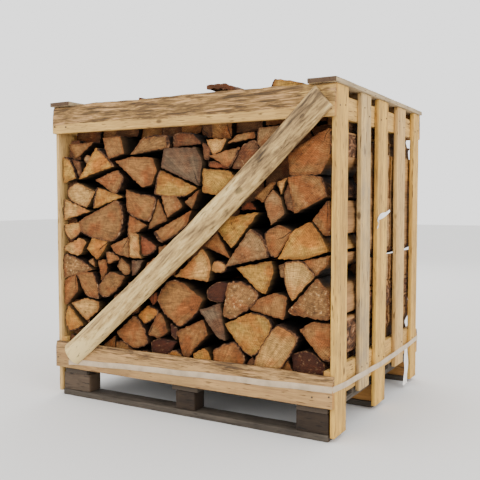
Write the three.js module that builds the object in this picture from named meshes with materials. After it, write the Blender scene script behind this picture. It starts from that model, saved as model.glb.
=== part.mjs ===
// Crate of split firewood on a pallet.
//
// A nine-block pallet carries a slatted softwood crate: five upright slats and two inner rails on each
// side, two waney rails and one diagonal half-round brace on the front and on the back, and a cap plank
// over each side. Three rows of split logs lie inside with their ends towards the front and the back,
// and a plastic strap runs round the crate over the bottom rails.
//
// Millimetres, Z up. X runs across the front, Y from the front to the back, and the origin is on the
// floor under the middle of the crate.
import * as THREE from 'three';

// ---------------------------------------------------------------- driving dimensions
const CRATE_HALF_WIDTH = 588; // to the outer faces of the side slats
const CRATE_HALF_DEPTH = 467; // to the outer edges of the corner slats
const CAP_TOP = 1150;
const GAP = 0.3; // clearance between pieces that touch
const EASE = 2.5; // chamfer along the long edges of sawn boards

const SLAT_THICKNESS = 16;
const SIDE_RAIL_THICKNESS = 22;
const END_RAIL_THICKNESS = 18;

const CAP_THICKNESS = 16;
const CAP_WIDTH = 98;
const CAP_HALF_LENGTH = 490;
const CAP_HALF_REACH = 595; // centre line to the outer edge of a cap plank

const SIDE_RAIL_LOW = { from: 131, to: 229 };
const SIDE_RAIL_HIGH = { from: 1034, to: 1108 };

const BRACE = { length: 1402, width: 90, thickness: 28, edge: 8, bow: 15, tilt: 41.2, x: 27.5, z: 631 };

// The strap's middle climbs from its end under the brace to the corner, by a power of the way along.
const STRAP = {
  height: 20, thickness: 1.5, startX: -520, endY: -430, startZ: 137, cornerZ: 177, climb: 0.7, sag: 12,
};

const SKID = { halfLength: 566, width: 74, thickness: 22 };
const BLOCK_HEIGHT = 68;
const BLOCK_DEPTH = 66;
const STRINGER = { width: 110, thickness: 18, length: 932 };
const DECK_BOARD_THICKNESS = 20;

const LOG_LENGTH = 298;
const LOG_ROW_PITCH = 306;

// ---------------------------------------------------------------- levels worked out from them
const slatInnerFace = CRATE_HALF_WIDTH - SLAT_THICKNESS;
const capUnderside = CAP_TOP - CAP_THICKNESS;
const slatTop = capUnderside - GAP;
const endRailFace = CRATE_HALF_DEPTH + GAP + END_RAIL_THICKNESS;
const strapOuter = endRailFace + GAP + STRAP.thickness;
const braceBack = strapOuter + GAP;
const blockTop = SKID.thickness + GAP + BLOCK_HEIGHT;
const stringerTop = blockTop + GAP + STRINGER.thickness;
const deckTop = stringerTop + GAP + DECK_BOARD_THICKNESS;
const pileBottom = deckTop + GAP;

// ---------------------------------------------------------------- finishes
const finish = (color, roughness) => new THREE.MeshStandardMaterial({ color, roughness, metalness: 0 });
const FRESH_PINE = finish(0xd8bd8a, 0.8);
const PALE_PINE = finish(0xdcc9a2, 0.8);
const GREYED_PINE = finish(0xbfb199, 0.85);
const WEATHERED_PINE = finish(0x75695a, 0.9);
const SPLIT_BIRCH = finish(0xb57c4a, 0.85);
const BIRCH_BARK = finish(0x6a4634, 0.9);
const STRAP_PLASTIC = finish(0xdad4cd, 0.45);

const crate = new THREE.Group();

// Axes that an outline drawn in X and Y is turned to before it is placed.
const UNIT_X = new THREE.Vector3(1, 0, 0);
const UNIT_Y = new THREE.Vector3(0, 1, 0);
const UNIT_Z = new THREE.Vector3(0, 0, 1);
const ALONG_X = new THREE.Matrix4().makeBasis(UNIT_Y, UNIT_Z, UNIT_X);
const ALONG_Y = new THREE.Matrix4().makeBasis(UNIT_X, UNIT_Z, UNIT_Y.clone().negate());
const ALONG_Z = new THREE.Matrix4();

// Adds one named piece to a parent group.
function addPiece(name, geometry, material, position = [0, 0, 0], parent = crate) {
  const piece = new THREE.Mesh(geometry, material);
  piece.name = name;
  piece.position.set(...position);
  parent.add(piece);
  return piece;
}

// An outline of [x, y] points, extruded by a length about its own middle and turned to an axis.
function extrude(points, length, axis, steps = 1) {
  const shape = new THREE.Shape(points.map(([x, y]) => new THREE.Vector2(x, y)));
  const geometry = new THREE.ExtrudeGeometry(shape, { depth: length, steps, bevelEnabled: false });
  geometry.translate(0, 0, -length / 2);
  return geometry.applyMatrix4(axis);
}

// The section of a sawn board with its four edges eased.
function boardSection(width, height) {
  const [w, h] = [width / 2, height / 2];
  return [
    [-w + EASE, -h], [w - EASE, -h], [w, -h + EASE], [w, h - EASE],
    [w - EASE, h], [-w + EASE, h], [-w, h - EASE], [-w, -h + EASE],
  ];
}

// A sawn timber given by its size in X, Y and Z, with its grain along the named axis.
function timber(name, material, grain, [sx, sy, sz], position) {
  const sections = {
    x: () => extrude(boardSection(sy, sz), sx, ALONG_X),
    y: () => extrude(boardSection(sx, sz), sy, ALONG_Y),
    z: () => extrude(boardSection(sx, sy), sz, ALONG_Z),
  };
  return addPiece(name, sections[grain](), material, position);
}

// ---------------------------------------------------------------- pallet
const ROWS = [['front', -1], ['middle', 0], ['back', 1]];
const skidCentreY = CRATE_HALF_DEPTH - SKID.width / 2;

// Left, middle and right blocks: centre, length along X and wood.
const BLOCKS = [
  { side: 'left', x: -500, length: 132, woods: [GREYED_PINE, WEATHERED_PINE, WEATHERED_PINE] },
  { side: 'middle', x: 15, length: 82, woods: [WEATHERED_PINE, WEATHERED_PINE, GREYED_PINE] },
  { side: 'right', x: 509, length: 114, woods: [WEATHERED_PINE, FRESH_PINE, FRESH_PINE] },
];
const DECK_BOARDS = [
  { y: -404, width: 122 }, { y: -206, width: 98 }, { y: 4, width: 118 },
  { y: 202, width: 98 }, { y: 404, width: 122 },
];

function buildPallet() {
  const skidSize = [2 * SKID.halfLength, SKID.width, SKID.thickness];
  ROWS.forEach(([row, sign], index) => {
    const y = sign * skidCentreY;
    timber(`skid_${row}`, WEATHERED_PINE, 'x', skidSize, [0, y, SKID.thickness / 2]);
    for (const { side, x, length, woods } of BLOCKS) {
      const size = [length, BLOCK_DEPTH, BLOCK_HEIGHT];
      timber(`block_${row}_${side}`, woods[index], 'x', size, [x, y, blockTop - BLOCK_HEIGHT / 2]);
    }
  });
  const stringerSize = [STRINGER.width, STRINGER.length, STRINGER.thickness];
  for (const { side, x } of BLOCKS) {
    const z = stringerTop - STRINGER.thickness / 2;
    timber(`stringer_${side}`, WEATHERED_PINE, 'y', stringerSize, [x, 0, z]);
  }
  DECK_BOARDS.forEach(({ y, width }, index) => {
    const size = [2 * SKID.halfLength, width, DECK_BOARD_THICKNESS];
    timber(`deck_board_${index + 1}`, WEATHERED_PINE, 'x', size, [0, y, deckTop - DECK_BOARD_THICKNESS / 2]);
  });
}

// ---------------------------------------------------------------- slatted sides
// Slats from front to back: the middle of each at half height, its width, the foot's height above the
// floor and how far it leans, in degrees. Long slats cover the ends of the skids.
const RIGHT_SLATS = [
  { y: -416, width: 102, foot: 15, lean: 0, wood: FRESH_PINE },
  { y: -193, width: 96, foot: 114, lean: 0.3, wood: GREYED_PINE },
  { y: -11, width: 110, foot: 16, lean: -0.35, wood: FRESH_PINE },
  { y: 220, width: 104, foot: 112, lean: 0.25, wood: PALE_PINE },
  { y: 427, width: 80, foot: 14, lean: 0, wood: FRESH_PINE },
];
const LEFT_SLATS = [
  { y: -416, width: 102, foot: 14, lean: 0, wood: PALE_PINE },
  { y: -208, width: 104, foot: 112, lean: -0.3, wood: FRESH_PINE },
  { y: 8, width: 98, foot: 15, lean: 0.25, wood: GREYED_PINE },
  { y: 212, width: 108, foot: 114, lean: -0.2, wood: FRESH_PINE },
  { y: 417, width: 100, foot: 16, lean: 0, wood: PALE_PINE },
];

function buildSide(side, sign, slats) {
  slats.forEach(({ y, width, foot, lean, wood }, index) => {
    const turn = THREE.MathUtils.degToRad(lean);
    const cornerRise = (width / 2) * Math.abs(Math.sin(turn));
    const size = [SLAT_THICKNESS, width, slatTop - foot - 2 * cornerRise];
    const position = [sign * (CRATE_HALF_WIDTH - SLAT_THICKNESS / 2), y, (slatTop + foot) / 2];
    const slat = timber(`${side}_slat_${index + 1}`, wood, 'z', size, position);
    slat.rotation.x = turn;
  });
  const railX = sign * (slatInnerFace - GAP - SIDE_RAIL_THICKNESS / 2);
  for (const [level, { from, to }] of [['bottom', SIDE_RAIL_LOW], ['top', SIDE_RAIL_HIGH]]) {
    const size = [SIDE_RAIL_THICKNESS, 2 * CRATE_HALF_DEPTH, to - from];
    timber(`${side}_side_rail_${level}`, PALE_PINE, 'y', size, [railX, 0, (from + to) / 2]);
  }
  const capSize = [CAP_WIDTH, 2 * CAP_HALF_LENGTH, CAP_THICKNESS];
  const capX = sign * (CAP_HALF_REACH - CAP_WIDTH / 2);
  timber(`${side}_cap_plank`, GREYED_PINE, 'y', capSize, [capX, 0, CAP_TOP - CAP_THICKNESS / 2]);
}

// ---------------------------------------------------------------- front and back
// Waney rails, drawn in X and Z as seen from outside: the sawn lower edge, then the waney upper edge
// from right to left.
const TOP_RAIL = [
  [-588, 1031], [90, 1041], [588, 1030],
  [588, 1129], [380, 1127], [200, 1133], [20, 1130], [-150, 1136], [-300, 1133], [-460, 1131], [-588, 1128],
];
const BOTTOM_RAIL = [
  [-588, 114], [588, 115],
  [588, 217], [400, 213], [250, 214], [60, 208], [-140, 209], [-358, 205], [-588, 206],
];

// The brace is a half-round pole with its flat side on the rails, and it bows a little downwards.
function braceGeometry() {
  const { length, width, thickness, edge, bow } = BRACE;
  const section = [[-width / 2, 0], [width / 2, 0]];
  const arcPoints = 7;
  for (let i = 0; i <= arcPoints; i++) {
    const angle = (Math.PI * i) / arcPoints;
    section.push([(width / 2) * Math.cos(angle), edge + (thickness - edge) * Math.sin(angle)]);
  }
  const geometry = extrude(section, length, ALONG_Z, 8);
  const place = geometry.attributes.position;
  for (let i = 0; i < place.count; i++) {
    const [across, out, along] = [place.getX(i), place.getY(i), place.getZ(i)];
    const dip = bow * (1 - ((2 * along) / length) ** 2);
    place.setXYZ(i, along, -out, across - dip);
  }
  return geometry;
}

function buildEnd(end, turn) {
  const group = new THREE.Group();
  group.rotation.z = turn;
  crate.add(group);
  const railY = -(CRATE_HALF_DEPTH + GAP + END_RAIL_THICKNESS / 2);
  const rails = [['top', TOP_RAIL, GREYED_PINE], ['bottom', BOTTOM_RAIL, PALE_PINE]];
  for (const [level, outline, wood] of rails) {
    const geometry = extrude(outline, END_RAIL_THICKNESS, ALONG_Y);
    addPiece(`${end}_rail_${level}`, geometry, wood, [0, railY, 0], group);
  }
  const place = [BRACE.x, -braceBack, BRACE.z];
  const brace = addPiece(`${end}_brace`, braceGeometry(), PALE_PINE, place, group);
  brace.rotation.y = -THREE.MathUtils.degToRad(BRACE.tilt);
}

// ---------------------------------------------------------------- strap
// Height of the strap's middle: it climbs along the front and sags a little along the other sides.
function strapHeight(x, y) {
  const onFront = y < -CRATE_HALF_DEPTH - GAP;
  if (onFront) {
    const reach = (x - STRAP.startX) / (CRATE_HALF_WIDTH - STRAP.startX);
    return STRAP.startZ + (STRAP.cornerZ - STRAP.startZ) * Math.max(reach, 0) ** STRAP.climb;
  }
  const onBack = y > CRATE_HALF_DEPTH + GAP;
  const along = onBack ? x / CRATE_HALF_WIDTH : y / CRATE_HALF_DEPTH;
  return STRAP.cornerZ - STRAP.sag * Math.max(1 - along ** 2, 0);
}

// The band starts under the front brace, goes round the right side and the back, and ends on the left.
function strapGeometry() {
  const middle = GAP + STRAP.thickness / 2;
  const [sideX, endY] = [CRATE_HALF_WIDTH + middle, endRailFace + middle];
  const corners = [
    [STRAP.startX, -endY], [sideX, -endY], [sideX, endY], [-sideX, endY], [-sideX, STRAP.endY],
  ];
  const stretches = 8;
  const route = [];
  for (let leg = 0; leg + 1 < corners.length; leg++) {
    const [from, to] = [corners[leg], corners[leg + 1]];
    for (let i = leg === 0 ? 0 : 1; i <= stretches; i++) {
      const share = i / stretches;
      route.push([from[0] + (to[0] - from[0]) * share, from[1] + (to[1] - from[1]) * share]);
    }
  }
  const offset = (side) => route.map(([x, y], i) => {
    const before = route[Math.max(i - 1, 0)];
    const after = route[Math.min(i + 1, route.length - 1)];
    const inwards = [Math.sign(before[1] - after[1]), Math.sign(after[0] - before[0])];
    const reach = (side * STRAP.thickness) / 2;
    return [x + inwards[0] * reach, y + inwards[1] * reach];
  });
  const outline = [...offset(-1), ...offset(1).reverse()];
  const geometry = extrude(outline, STRAP.height, ALONG_Z);
  const place = geometry.attributes.position;
  for (let i = 0; i < place.count; i++) {
    place.setZ(i, place.getZ(i) + strapHeight(place.getX(i), place.getY(i)));
  }
  return geometry;
}

// Two loose bits of the same plastic hang on the right side.
const STRAP_TAIL = { width: 56, length: 146, y: 310, foot: 13 };
const FILM_SCRAP = { width: 15, length: 134, y: 0, z: 718, tilt: 17 };

function buildStrap() {
  addPiece('strap', strapGeometry(), STRAP_PLASTIC);
  const skinX = CRATE_HALF_WIDTH + GAP + STRAP.thickness / 2;
  const tail = new THREE.BoxGeometry(STRAP.thickness, STRAP_TAIL.width, STRAP_TAIL.length);
  addPiece('strap_tail', tail, STRAP_PLASTIC, [skinX, STRAP_TAIL.y, STRAP_TAIL.foot + STRAP_TAIL.length / 2]);
  const scrapGeometry = new THREE.BoxGeometry(STRAP.thickness, FILM_SCRAP.length, FILM_SCRAP.width);
  const scrap = addPiece('film_scrap', scrapGeometry, STRAP_PLASTIC, [skinX, FILM_SCRAP.y, FILM_SCRAP.z]);
  scrap.rotation.x = THREE.MathUtils.degToRad(FILM_SCRAP.tilt);
}

// ---------------------------------------------------------------- logs
// Half width of the pile between the side rails, and where it swells out to the slats.
const PILE_AT_RAILS = 547;
const PILE_AT_SLATS = 569;
const SWELL = { from: 234, to: 1026, ramp: 20 };

// The top of each row of logs, and how its shoulders fall away.
const ROW_TOPS = { front: 1098, middle: 1104, back: 1100 };
const SHOULDER = { width: 80, drop: 18 };

// Loose logs on top: the round's centre, its radius, the angle split from it and its turn.
const TOP_LOGS = [
  { name: 'top_log_front_right', row: 'front', x: 405, radius: 62, sweep: 180, turn: -6 },
  { name: 'top_log_front_left', row: 'front', x: -190, radius: 48, sweep: 90, turn: 45 },
  { name: 'top_log_middle_left', row: 'middle', x: -340, radius: 52, sweep: 120, turn: 30 },
  { name: 'top_log_middle_right', row: 'middle', x: 180, radius: 56, sweep: 180, turn: 4 },
  { name: 'top_log_back_left', row: 'back', x: -220, radius: 58, sweep: 180, turn: -4 },
  { name: 'top_log_back_right', row: 'back', x: 350, radius: 50, sweep: 90, turn: 45 },
];
const BARK_SLAB = {
  name: 'top_bark_slab', row: 'front', x: 139, radius: 150, sweep: 68, thickness: 15, turn: 20,
};
const ARC_STEP = 15; // degrees between the corners of a round

const rowY = (row) => LOG_ROW_PITCH * ROWS.find(([name]) => name === row)[1];

// Half the outline of a row, from its foot to the top, on the side given by the sign.
function rowFlank(side, top) {
  return [
    [side * PILE_AT_RAILS, pileBottom],
    [side * PILE_AT_RAILS, SWELL.from], [side * PILE_AT_SLATS, SWELL.from + SWELL.ramp],
    [side * PILE_AT_SLATS, SWELL.to - SWELL.ramp], [side * PILE_AT_RAILS, SWELL.to],
    [side * PILE_AT_RAILS, top - SHOULDER.drop], [side * (PILE_AT_RAILS - SHOULDER.width), top],
  ];
}

function buildRow(row) {
  const outline = [...rowFlank(1, ROW_TOPS[row]), ...rowFlank(-1, ROW_TOPS[row]).reverse()];
  addPiece(`log_row_${row}`, extrude(outline, LOG_LENGTH, ALONG_Y), SPLIT_BIRCH, [0, rowY(row), 0]);
}

// The points of an arc about the origin, upright in the middle of its sweep.
function arc(radius, sweep) {
  const steps = Math.round(sweep / ARC_STEP);
  return Array.from({ length: steps + 1 }, (_, i) => {
    const angle = THREE.MathUtils.degToRad(90 - sweep / 2 + (sweep * i) / steps);
    return [radius * Math.cos(angle), radius * Math.sin(angle)];
  });
}

// Lays a length of wood with the given section on its row, turned about its own length.
function layOnRow({ name, row, x, turn }, section, material) {
  const geometry = extrude(section, LOG_LENGTH, ALONG_Y).rotateY(THREE.MathUtils.degToRad(turn));
  geometry.computeBoundingBox();
  const z = ROW_TOPS[row] + GAP - geometry.boundingBox.min.z;
  addPiece(name, geometry, material, [x, rowY(row), z]);
}

function buildLogs() {
  for (const [row] of ROWS) buildRow(row);
  for (const log of TOP_LOGS) {
    const centre = log.sweep < 180 ? [[0, 0]] : [];
    layOnRow(log, [...centre, ...arc(log.radius, log.sweep)], SPLIT_BIRCH);
  }
  const { radius, sweep, thickness } = BARK_SLAB;
  layOnRow(BARK_SLAB, [...arc(radius, sweep), ...arc(radius - thickness, sweep).reverse()], BIRCH_BARK);
}

buildPallet();
buildSide('right', 1, RIGHT_SLATS);
buildSide('left', -1, LEFT_SLATS);
buildEnd('front', 0);
buildEnd('back', Math.PI);
buildStrap();
buildLogs();

export default crate;
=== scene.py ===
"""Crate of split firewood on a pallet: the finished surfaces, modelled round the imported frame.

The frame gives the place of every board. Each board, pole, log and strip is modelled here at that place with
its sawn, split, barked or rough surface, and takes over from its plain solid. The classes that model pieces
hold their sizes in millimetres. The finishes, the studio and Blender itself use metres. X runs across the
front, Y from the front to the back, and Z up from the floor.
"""

import logging
import math
import random
from collections.abc import Callable, Iterable, Iterator, Sequence
from contextlib import contextmanager
from dataclasses import dataclass, field, replace
from enum import Enum

import bmesh
import bpy
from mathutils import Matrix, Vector


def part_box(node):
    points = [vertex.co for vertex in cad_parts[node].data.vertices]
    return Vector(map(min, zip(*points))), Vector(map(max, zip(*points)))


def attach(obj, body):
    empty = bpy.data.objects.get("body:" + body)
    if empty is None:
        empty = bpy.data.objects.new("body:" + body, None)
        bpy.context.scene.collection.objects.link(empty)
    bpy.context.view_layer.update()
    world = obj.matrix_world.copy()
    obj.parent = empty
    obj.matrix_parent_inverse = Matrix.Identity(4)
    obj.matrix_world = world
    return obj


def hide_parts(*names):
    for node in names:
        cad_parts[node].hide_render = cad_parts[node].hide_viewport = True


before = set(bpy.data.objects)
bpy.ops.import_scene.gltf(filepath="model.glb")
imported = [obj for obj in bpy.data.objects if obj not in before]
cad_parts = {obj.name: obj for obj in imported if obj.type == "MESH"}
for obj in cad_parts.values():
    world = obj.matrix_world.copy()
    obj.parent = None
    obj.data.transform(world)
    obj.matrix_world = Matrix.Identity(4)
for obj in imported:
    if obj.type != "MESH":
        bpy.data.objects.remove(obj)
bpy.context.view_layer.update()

MM = 0.001
BRACE_TILT = 41.2
LOG = logging.getLogger("firewood_crate")

Socket = bpy.types.NodeSocket
Tree = bpy.types.NodeTree
Node = bpy.types.Node
Piece = bpy.types.Object
Outline = tuple[tuple[float, float], ...]


class Axis(Enum):
    """The direction that a timber's grain runs in."""

    X = 0
    Y = 1
    Z = 2


class Tone(Enum):
    """The colour of a dried birch log's sawn end, from fresh cream to stained grey. Brown also paints shade.
    """

    CREAM = "A57D45"
    GOLD = "A27835"
    TAN = "7F582F"
    ORANGE = "82582D"
    PALE = "846643"
    PINK = "85653F"
    RED = "7F4828"
    # Brown is also painted shade on the logs under the top rail, right of the brace and among the kindling.
    BROWN = "603F24"
    ROUGH = "805A32"
    GREY = "614D38"
    BARK = "3B1C0C"


# ---------------------------------------------------------------- shared helpers


def linear(hex_code: str) -> tuple[float, float, float, float]:
    """Turns an sRGB hex colour to the linear values that shaders take.

    Args:
        hex_code: six hex digits, without a sign before them.

    Returns:
        Linear red, green, blue and a full alpha.
    """
    shares = [int(hex_code[i:i + 2], 16) / 255 for i in (0, 2, 4)]
    curve = [s / 12.92 if s <= 0.04045 else ((s + 0.055) / 1.055) ** 2.4 for s in shares]
    return curve[0], curve[1], curve[2], 1.0


def add_node(
    tree: Tree,
    kind: str,
    inputs: dict[str | int, object] | None = None,
    stops: list[tuple[float, object]] | None = None,
    **settings: object,
) -> Node:
    """Adds a node to a tree with its settings, values and links.

    Args:
        tree: the material's node tree.
        kind: the node's type, without the words ShaderNode before it.
        inputs: for each input's name or number, a value to set or a socket to link from.
        stops: the places and colours of a colour ramp.
        settings: the node's own properties.

    Returns:
        The new node.
    """
    node = tree.nodes.new(f"ShaderNode{kind}")
    for name, value in settings.items():
        setattr(node, name, value)
    for name, value in (inputs or {}).items():
        if isinstance(value, Socket):
            tree.links.new(value, node.inputs[name])
        else:
            node.inputs[name].default_value = value
    for index, (place, colour) in enumerate(stops or []):
        elements = node.color_ramp.elements
        element = elements[index] if index < 2 else elements.new(place)
        element.position = place
        element.color = colour
    return node


def deselect() -> None:
    """Deselects every object."""
    bpy.ops.object.select_all(action="DESELECT")


@contextmanager
def editing(piece: Piece) -> Iterator[None]:
    """Opens a piece in edit mode with all of it selected, and closes it afterwards.

    Args:
        piece: the mesh object to edit.
    """
    deselect()
    piece.select_set(True)
    bpy.context.view_layer.objects.active = piece
    bpy.ops.object.mode_set(mode="EDIT")
    bpy.ops.mesh.select_all(action="SELECT")
    yield
    bpy.ops.object.mode_set(mode="OBJECT")


def pick(piece: Piece, test: Callable[[Vector, Vector], bool], faces: bool = False) -> int:
    """Selects the vertices or faces of the piece in edit mode that pass a test.

    Args:
        piece: the piece that is being edited.
        test: says for a place and a normal whether that element is wanted.
        faces: whether to pick faces rather than vertices.

    Returns:
        How many were picked.
    """
    bpy.ops.mesh.select_mode(type="FACE" if faces else "VERT")
    mesh = bmesh.from_edit_mesh(piece.data)
    wanted = 0
    for element in mesh.faces if faces else mesh.verts:
        place = element.calc_center_median() if faces else element.co
        chosen = test(place, element.normal)
        element.select_set(chosen)
        wanted += chosen
    mesh.select_flush_mode()
    bmesh.update_edit_mesh(piece.data)
    return wanted


def slice_across(axis: Axis, low: float, high: float, spacing: float) -> None:
    """Cuts all of the mesh in edit mode with evenly spaced planes, so that it can be shaped between them.

    Args:
        axis: the direction that the planes follow one another in.
        low: where the stretch starts, in metres.
        high: where it ends.
        spacing: the most that two planes stand apart.
    """
    count = max(math.ceil((high - low) / spacing), 1)
    normal = Vector([float(a == axis.value) for a in range(3)])
    for i in range(1, count):
        bpy.ops.mesh.select_all(action="SELECT")
        bpy.ops.mesh.bisect(plane_co=normal * (low + (high - low) * i / count), plane_no=normal)


def use_modifier(piece: Piece, kind: str, **settings: object) -> None:
    """Adds a modifier to a piece and applies it.

    Args:
        piece: the object that is changed.
        kind: the modifier's type.
        settings: its properties.
    """
    deselect()
    piece.select_set(True)
    bpy.context.view_layer.objects.active = piece
    modifier = piece.modifiers.new(kind.lower(), kind)
    for name, value in settings.items():
        setattr(modifier, name, value)
    bpy.ops.object.modifier_apply(modifier=modifier.name)


def roughen(piece: Piece, grain: float, depth: float, group: str = "", along: Axis | None = None,
            direction: str = "NORMAL", stretch: float = 8.0) -> None:
    """Works a surface with soft random hollows and ridges.

    Args:
        piece: the object that is roughened.
        grain: the size of a hollow, in metres.
        depth: from the deepest hollow to the highest ridge, in metres.
        group: a vertex group that limits it.
        along: the axis that the hollows are drawn out along.
        direction: which way the surface moves.
        stretch: how many times longer than wide a drawn-out hollow is.
    """
    texture = bpy.data.textures.new("hollows", "CLOUDS")
    texture.noise_scale = grain
    texture.noise_depth = 2
    deselect()
    bpy.ops.object.empty_add(location=(0, 0, 0))
    guide = bpy.context.object
    if along:
        guide.scale[along.value] = stretch
    bpy.context.view_layer.update()
    use_modifier(piece, "DISPLACE", texture=texture, texture_coords="OBJECT", texture_coords_object=guide,
                 strength=depth, mid_level=0.5, vertex_group=group, direction=direction)
    bpy.data.objects.remove(guide)
    bpy.data.textures.remove(texture)


def name_vertices(piece: Piece, group: str, test: Callable[[Vector], bool]) -> None:
    """Puts the vertices whose place passes a test in a vertex group.

    Args:
        piece: the object.
        group: the new group's name.
        test: says whether a place belongs to it.
    """
    found = [v.index for v in piece.data.vertices if test(v.co)]
    piece.vertex_groups.new(name=group).add(found, 1.0, "REPLACE")


def join(pieces: list[Piece]) -> Piece:
    """Joins meshes in the first of them.

    Args:
        pieces: the objects to join.

    Returns:
        The joined object.
    """
    deselect()
    for piece in pieces:
        piece.select_set(True)
    bpy.context.view_layer.objects.active = pieces[0]
    if len(pieces) > 1:
        bpy.ops.object.join()
    return pieces[0]


def hand_over(piece: Piece, name: str, slot: str, nodes: Iterable[str] = (), smooth: float = 35.0) -> Piece:
    """Names a finished piece, puts it on the crate's body and reports it.

    Args:
        piece: the finished object.
        name: the piece's name.
        slot: the name of a material slot; not used.
        nodes: the solids that it stands for.
        smooth: the angle in degrees up to which an edge is shaded smooth.

    Returns:
        The piece.
    """
    deselect()
    piece.select_set(True)
    bpy.context.view_layer.objects.active = piece
    bpy.ops.object.transform_apply(location=True, rotation=True, scale=True)
    bpy.ops.object.shade_smooth_by_angle(angle=math.radians(smooth))
    piece.name = name
    piece.data.name = name
    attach(piece, "root")
    if nodes:
        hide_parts(*nodes)
    LOG.info("%s: %d faces", name, len(piece.data.polygons))
    return piece


def lay_over(tree: Tree, under: Socket, over: str, pattern: Socket, start: float | Socket,
             full: float, cover: float) -> Socket:
    """Lays a colour over another where a pattern is strong.

    Args:
        tree: the material's node tree.
        under: the colour so far.
        over: the hex code of the colour that goes over it.
        pattern: the pattern.
        start: the pattern's value where the new colour starts to show.
        full: its value where that colour covers the most.
        cover: how much it covers there, from 0 to 1.

    Returns:
        The new colour.
    """
    mask = add_node(tree, "MapRange", {0: pattern, 1: start, 2: full, 3: 0.0, 4: cover})
    mixed = add_node(tree, "Mix", {0: mask.outputs[0], 6: under, 7: linear(over)}, data_type="RGBA")
    return mixed.outputs[2]


def dress(tree: Tree, shader: Node, colour: Socket, relief: Socket, strength: float,
          depth: float, roughness: float, specular: float = 0.5) -> None:
    """Gives a shader its colour, its fine relief and its sheen.

    Args:
        tree: the material's node tree.
        shader: its shader.
        colour: the finished colour.
        relief: the height of the fine relief, from 0 to 1.
        strength: how strongly the relief shows.
        depth: how deep it is, in metres.
        roughness: how dull the surface is.
        specular: how strongly it mirrors.
    """
    tree.links.new(colour, shader.inputs["Base Color"])
    bump = add_node(tree, "Bump", {"Strength": strength, "Distance": depth, "Height": relief})
    tree.links.new(bump.outputs[0], shader.inputs["Normal"])
    shader.inputs["Roughness"].default_value = roughness
    shader.inputs["Specular IOR Level"].default_value = specular


@dataclass(frozen=True)
class PileShade:
    """Paints shade on log sides deep in the pile, and light on those beside the slats. Places are in metres.

    Attributes:
        inside: how light the log sides deep in the pile are.
        near_ends: how light they are just behind the sawn ends.
        beside_slats: how light they are behind the slats.
        sides: where, from the middle to the left or right, the pile's sides start and are reached.
        top: the heights where its top starts and is reached.
        ends: where, from the middle to the front or back, the light from the ends starts and is full.
        facing: how squarely a face looks to the front or back when it starts to count as an end, and does.
    """

    inside: float = 0.04
    near_ends: float = 0.34
    beside_slats: float = 1.3
    sides: tuple[float, float] = (0.535, 0.56)
    top: tuple[float, float] = (1.05, 1.09)
    ends: tuple[float, float] = (0.41, 0.46)
    facing: tuple[float, float] = (0.5, 0.8)

    def factor(self, tree: Tree, place: Node) -> Socket:
        """Works out how light a point of the pile is.

        Args:
            tree: the material's node tree.
            place: its texture coordinate node.

        Returns:
            A factor that paints this light and shade into the wood's colour.
        """
        where = add_node(tree, "SeparateXYZ", {0: place.outputs["Object"]})
        facing = add_node(tree, "SeparateXYZ", {0: place.outputs["Normal"]})
        across, deep = (add_node(tree, "Math", {0: where.outputs[i]}, operation="ABSOLUTE") for i in (0, 1))
        endways = add_node(tree, "Math", {0: facing.outputs[1]}, operation="ABSOLUTE")
        most = None
        # Each step lifts the painted shade: beside the slats, at the top, on faces towards the ends, near
        # the sawn ends.
        for value, (start, full), lit in (
            (across.outputs[0], self.sides, self.beside_slats),
            (where.outputs[2], self.top, 1.0),
            (endways.outputs[0], self.facing, 1.0),
            (deep.outputs[0], self.ends, self.near_ends),
        ):
            share = add_node(tree, "MapRange", {0: value, 1: start, 2: full, 3: self.inside, 4: lit})
            light = share.outputs[0]
            if most:
                light = add_node(tree, "Math", {0: most, 1: light}, operation="MAXIMUM").outputs[0]
            most = light
        return most


PILE_SHADE = PileShade()


# ---------------------------------------------------------------- finishes


@dataclass(frozen=True)
class Finish:
    """A finish that can be put on a piece. Each kind draws its own nodes."""

    name: str

    def material(self) -> bpy.types.Material:
        """The finish's material, made when it is first asked for."""
        known = bpy.data.materials.get(self.name)
        if known:
            return known
        material = bpy.data.materials.new(self.name)
        material.use_nodes = True
        tree = material.node_tree
        tree.nodes.clear()
        shader = add_node(tree, "BsdfPrincipled")
        add_node(tree, "OutputMaterial", {"Surface": shader.outputs["BSDF"]})
        self.draw(tree, shader)
        return material

    def draw(self, tree: Tree, shader: Node) -> None:
        """Draws the finish into a material.

        Args:
            tree: the material's node tree.
            shader: its shader.
        """
        raise NotImplementedError

    def put_on(self, piece: Piece) -> None:
        """Makes this the next material slot of a piece."""
        piece.data.materials.append(self.material())


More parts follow.
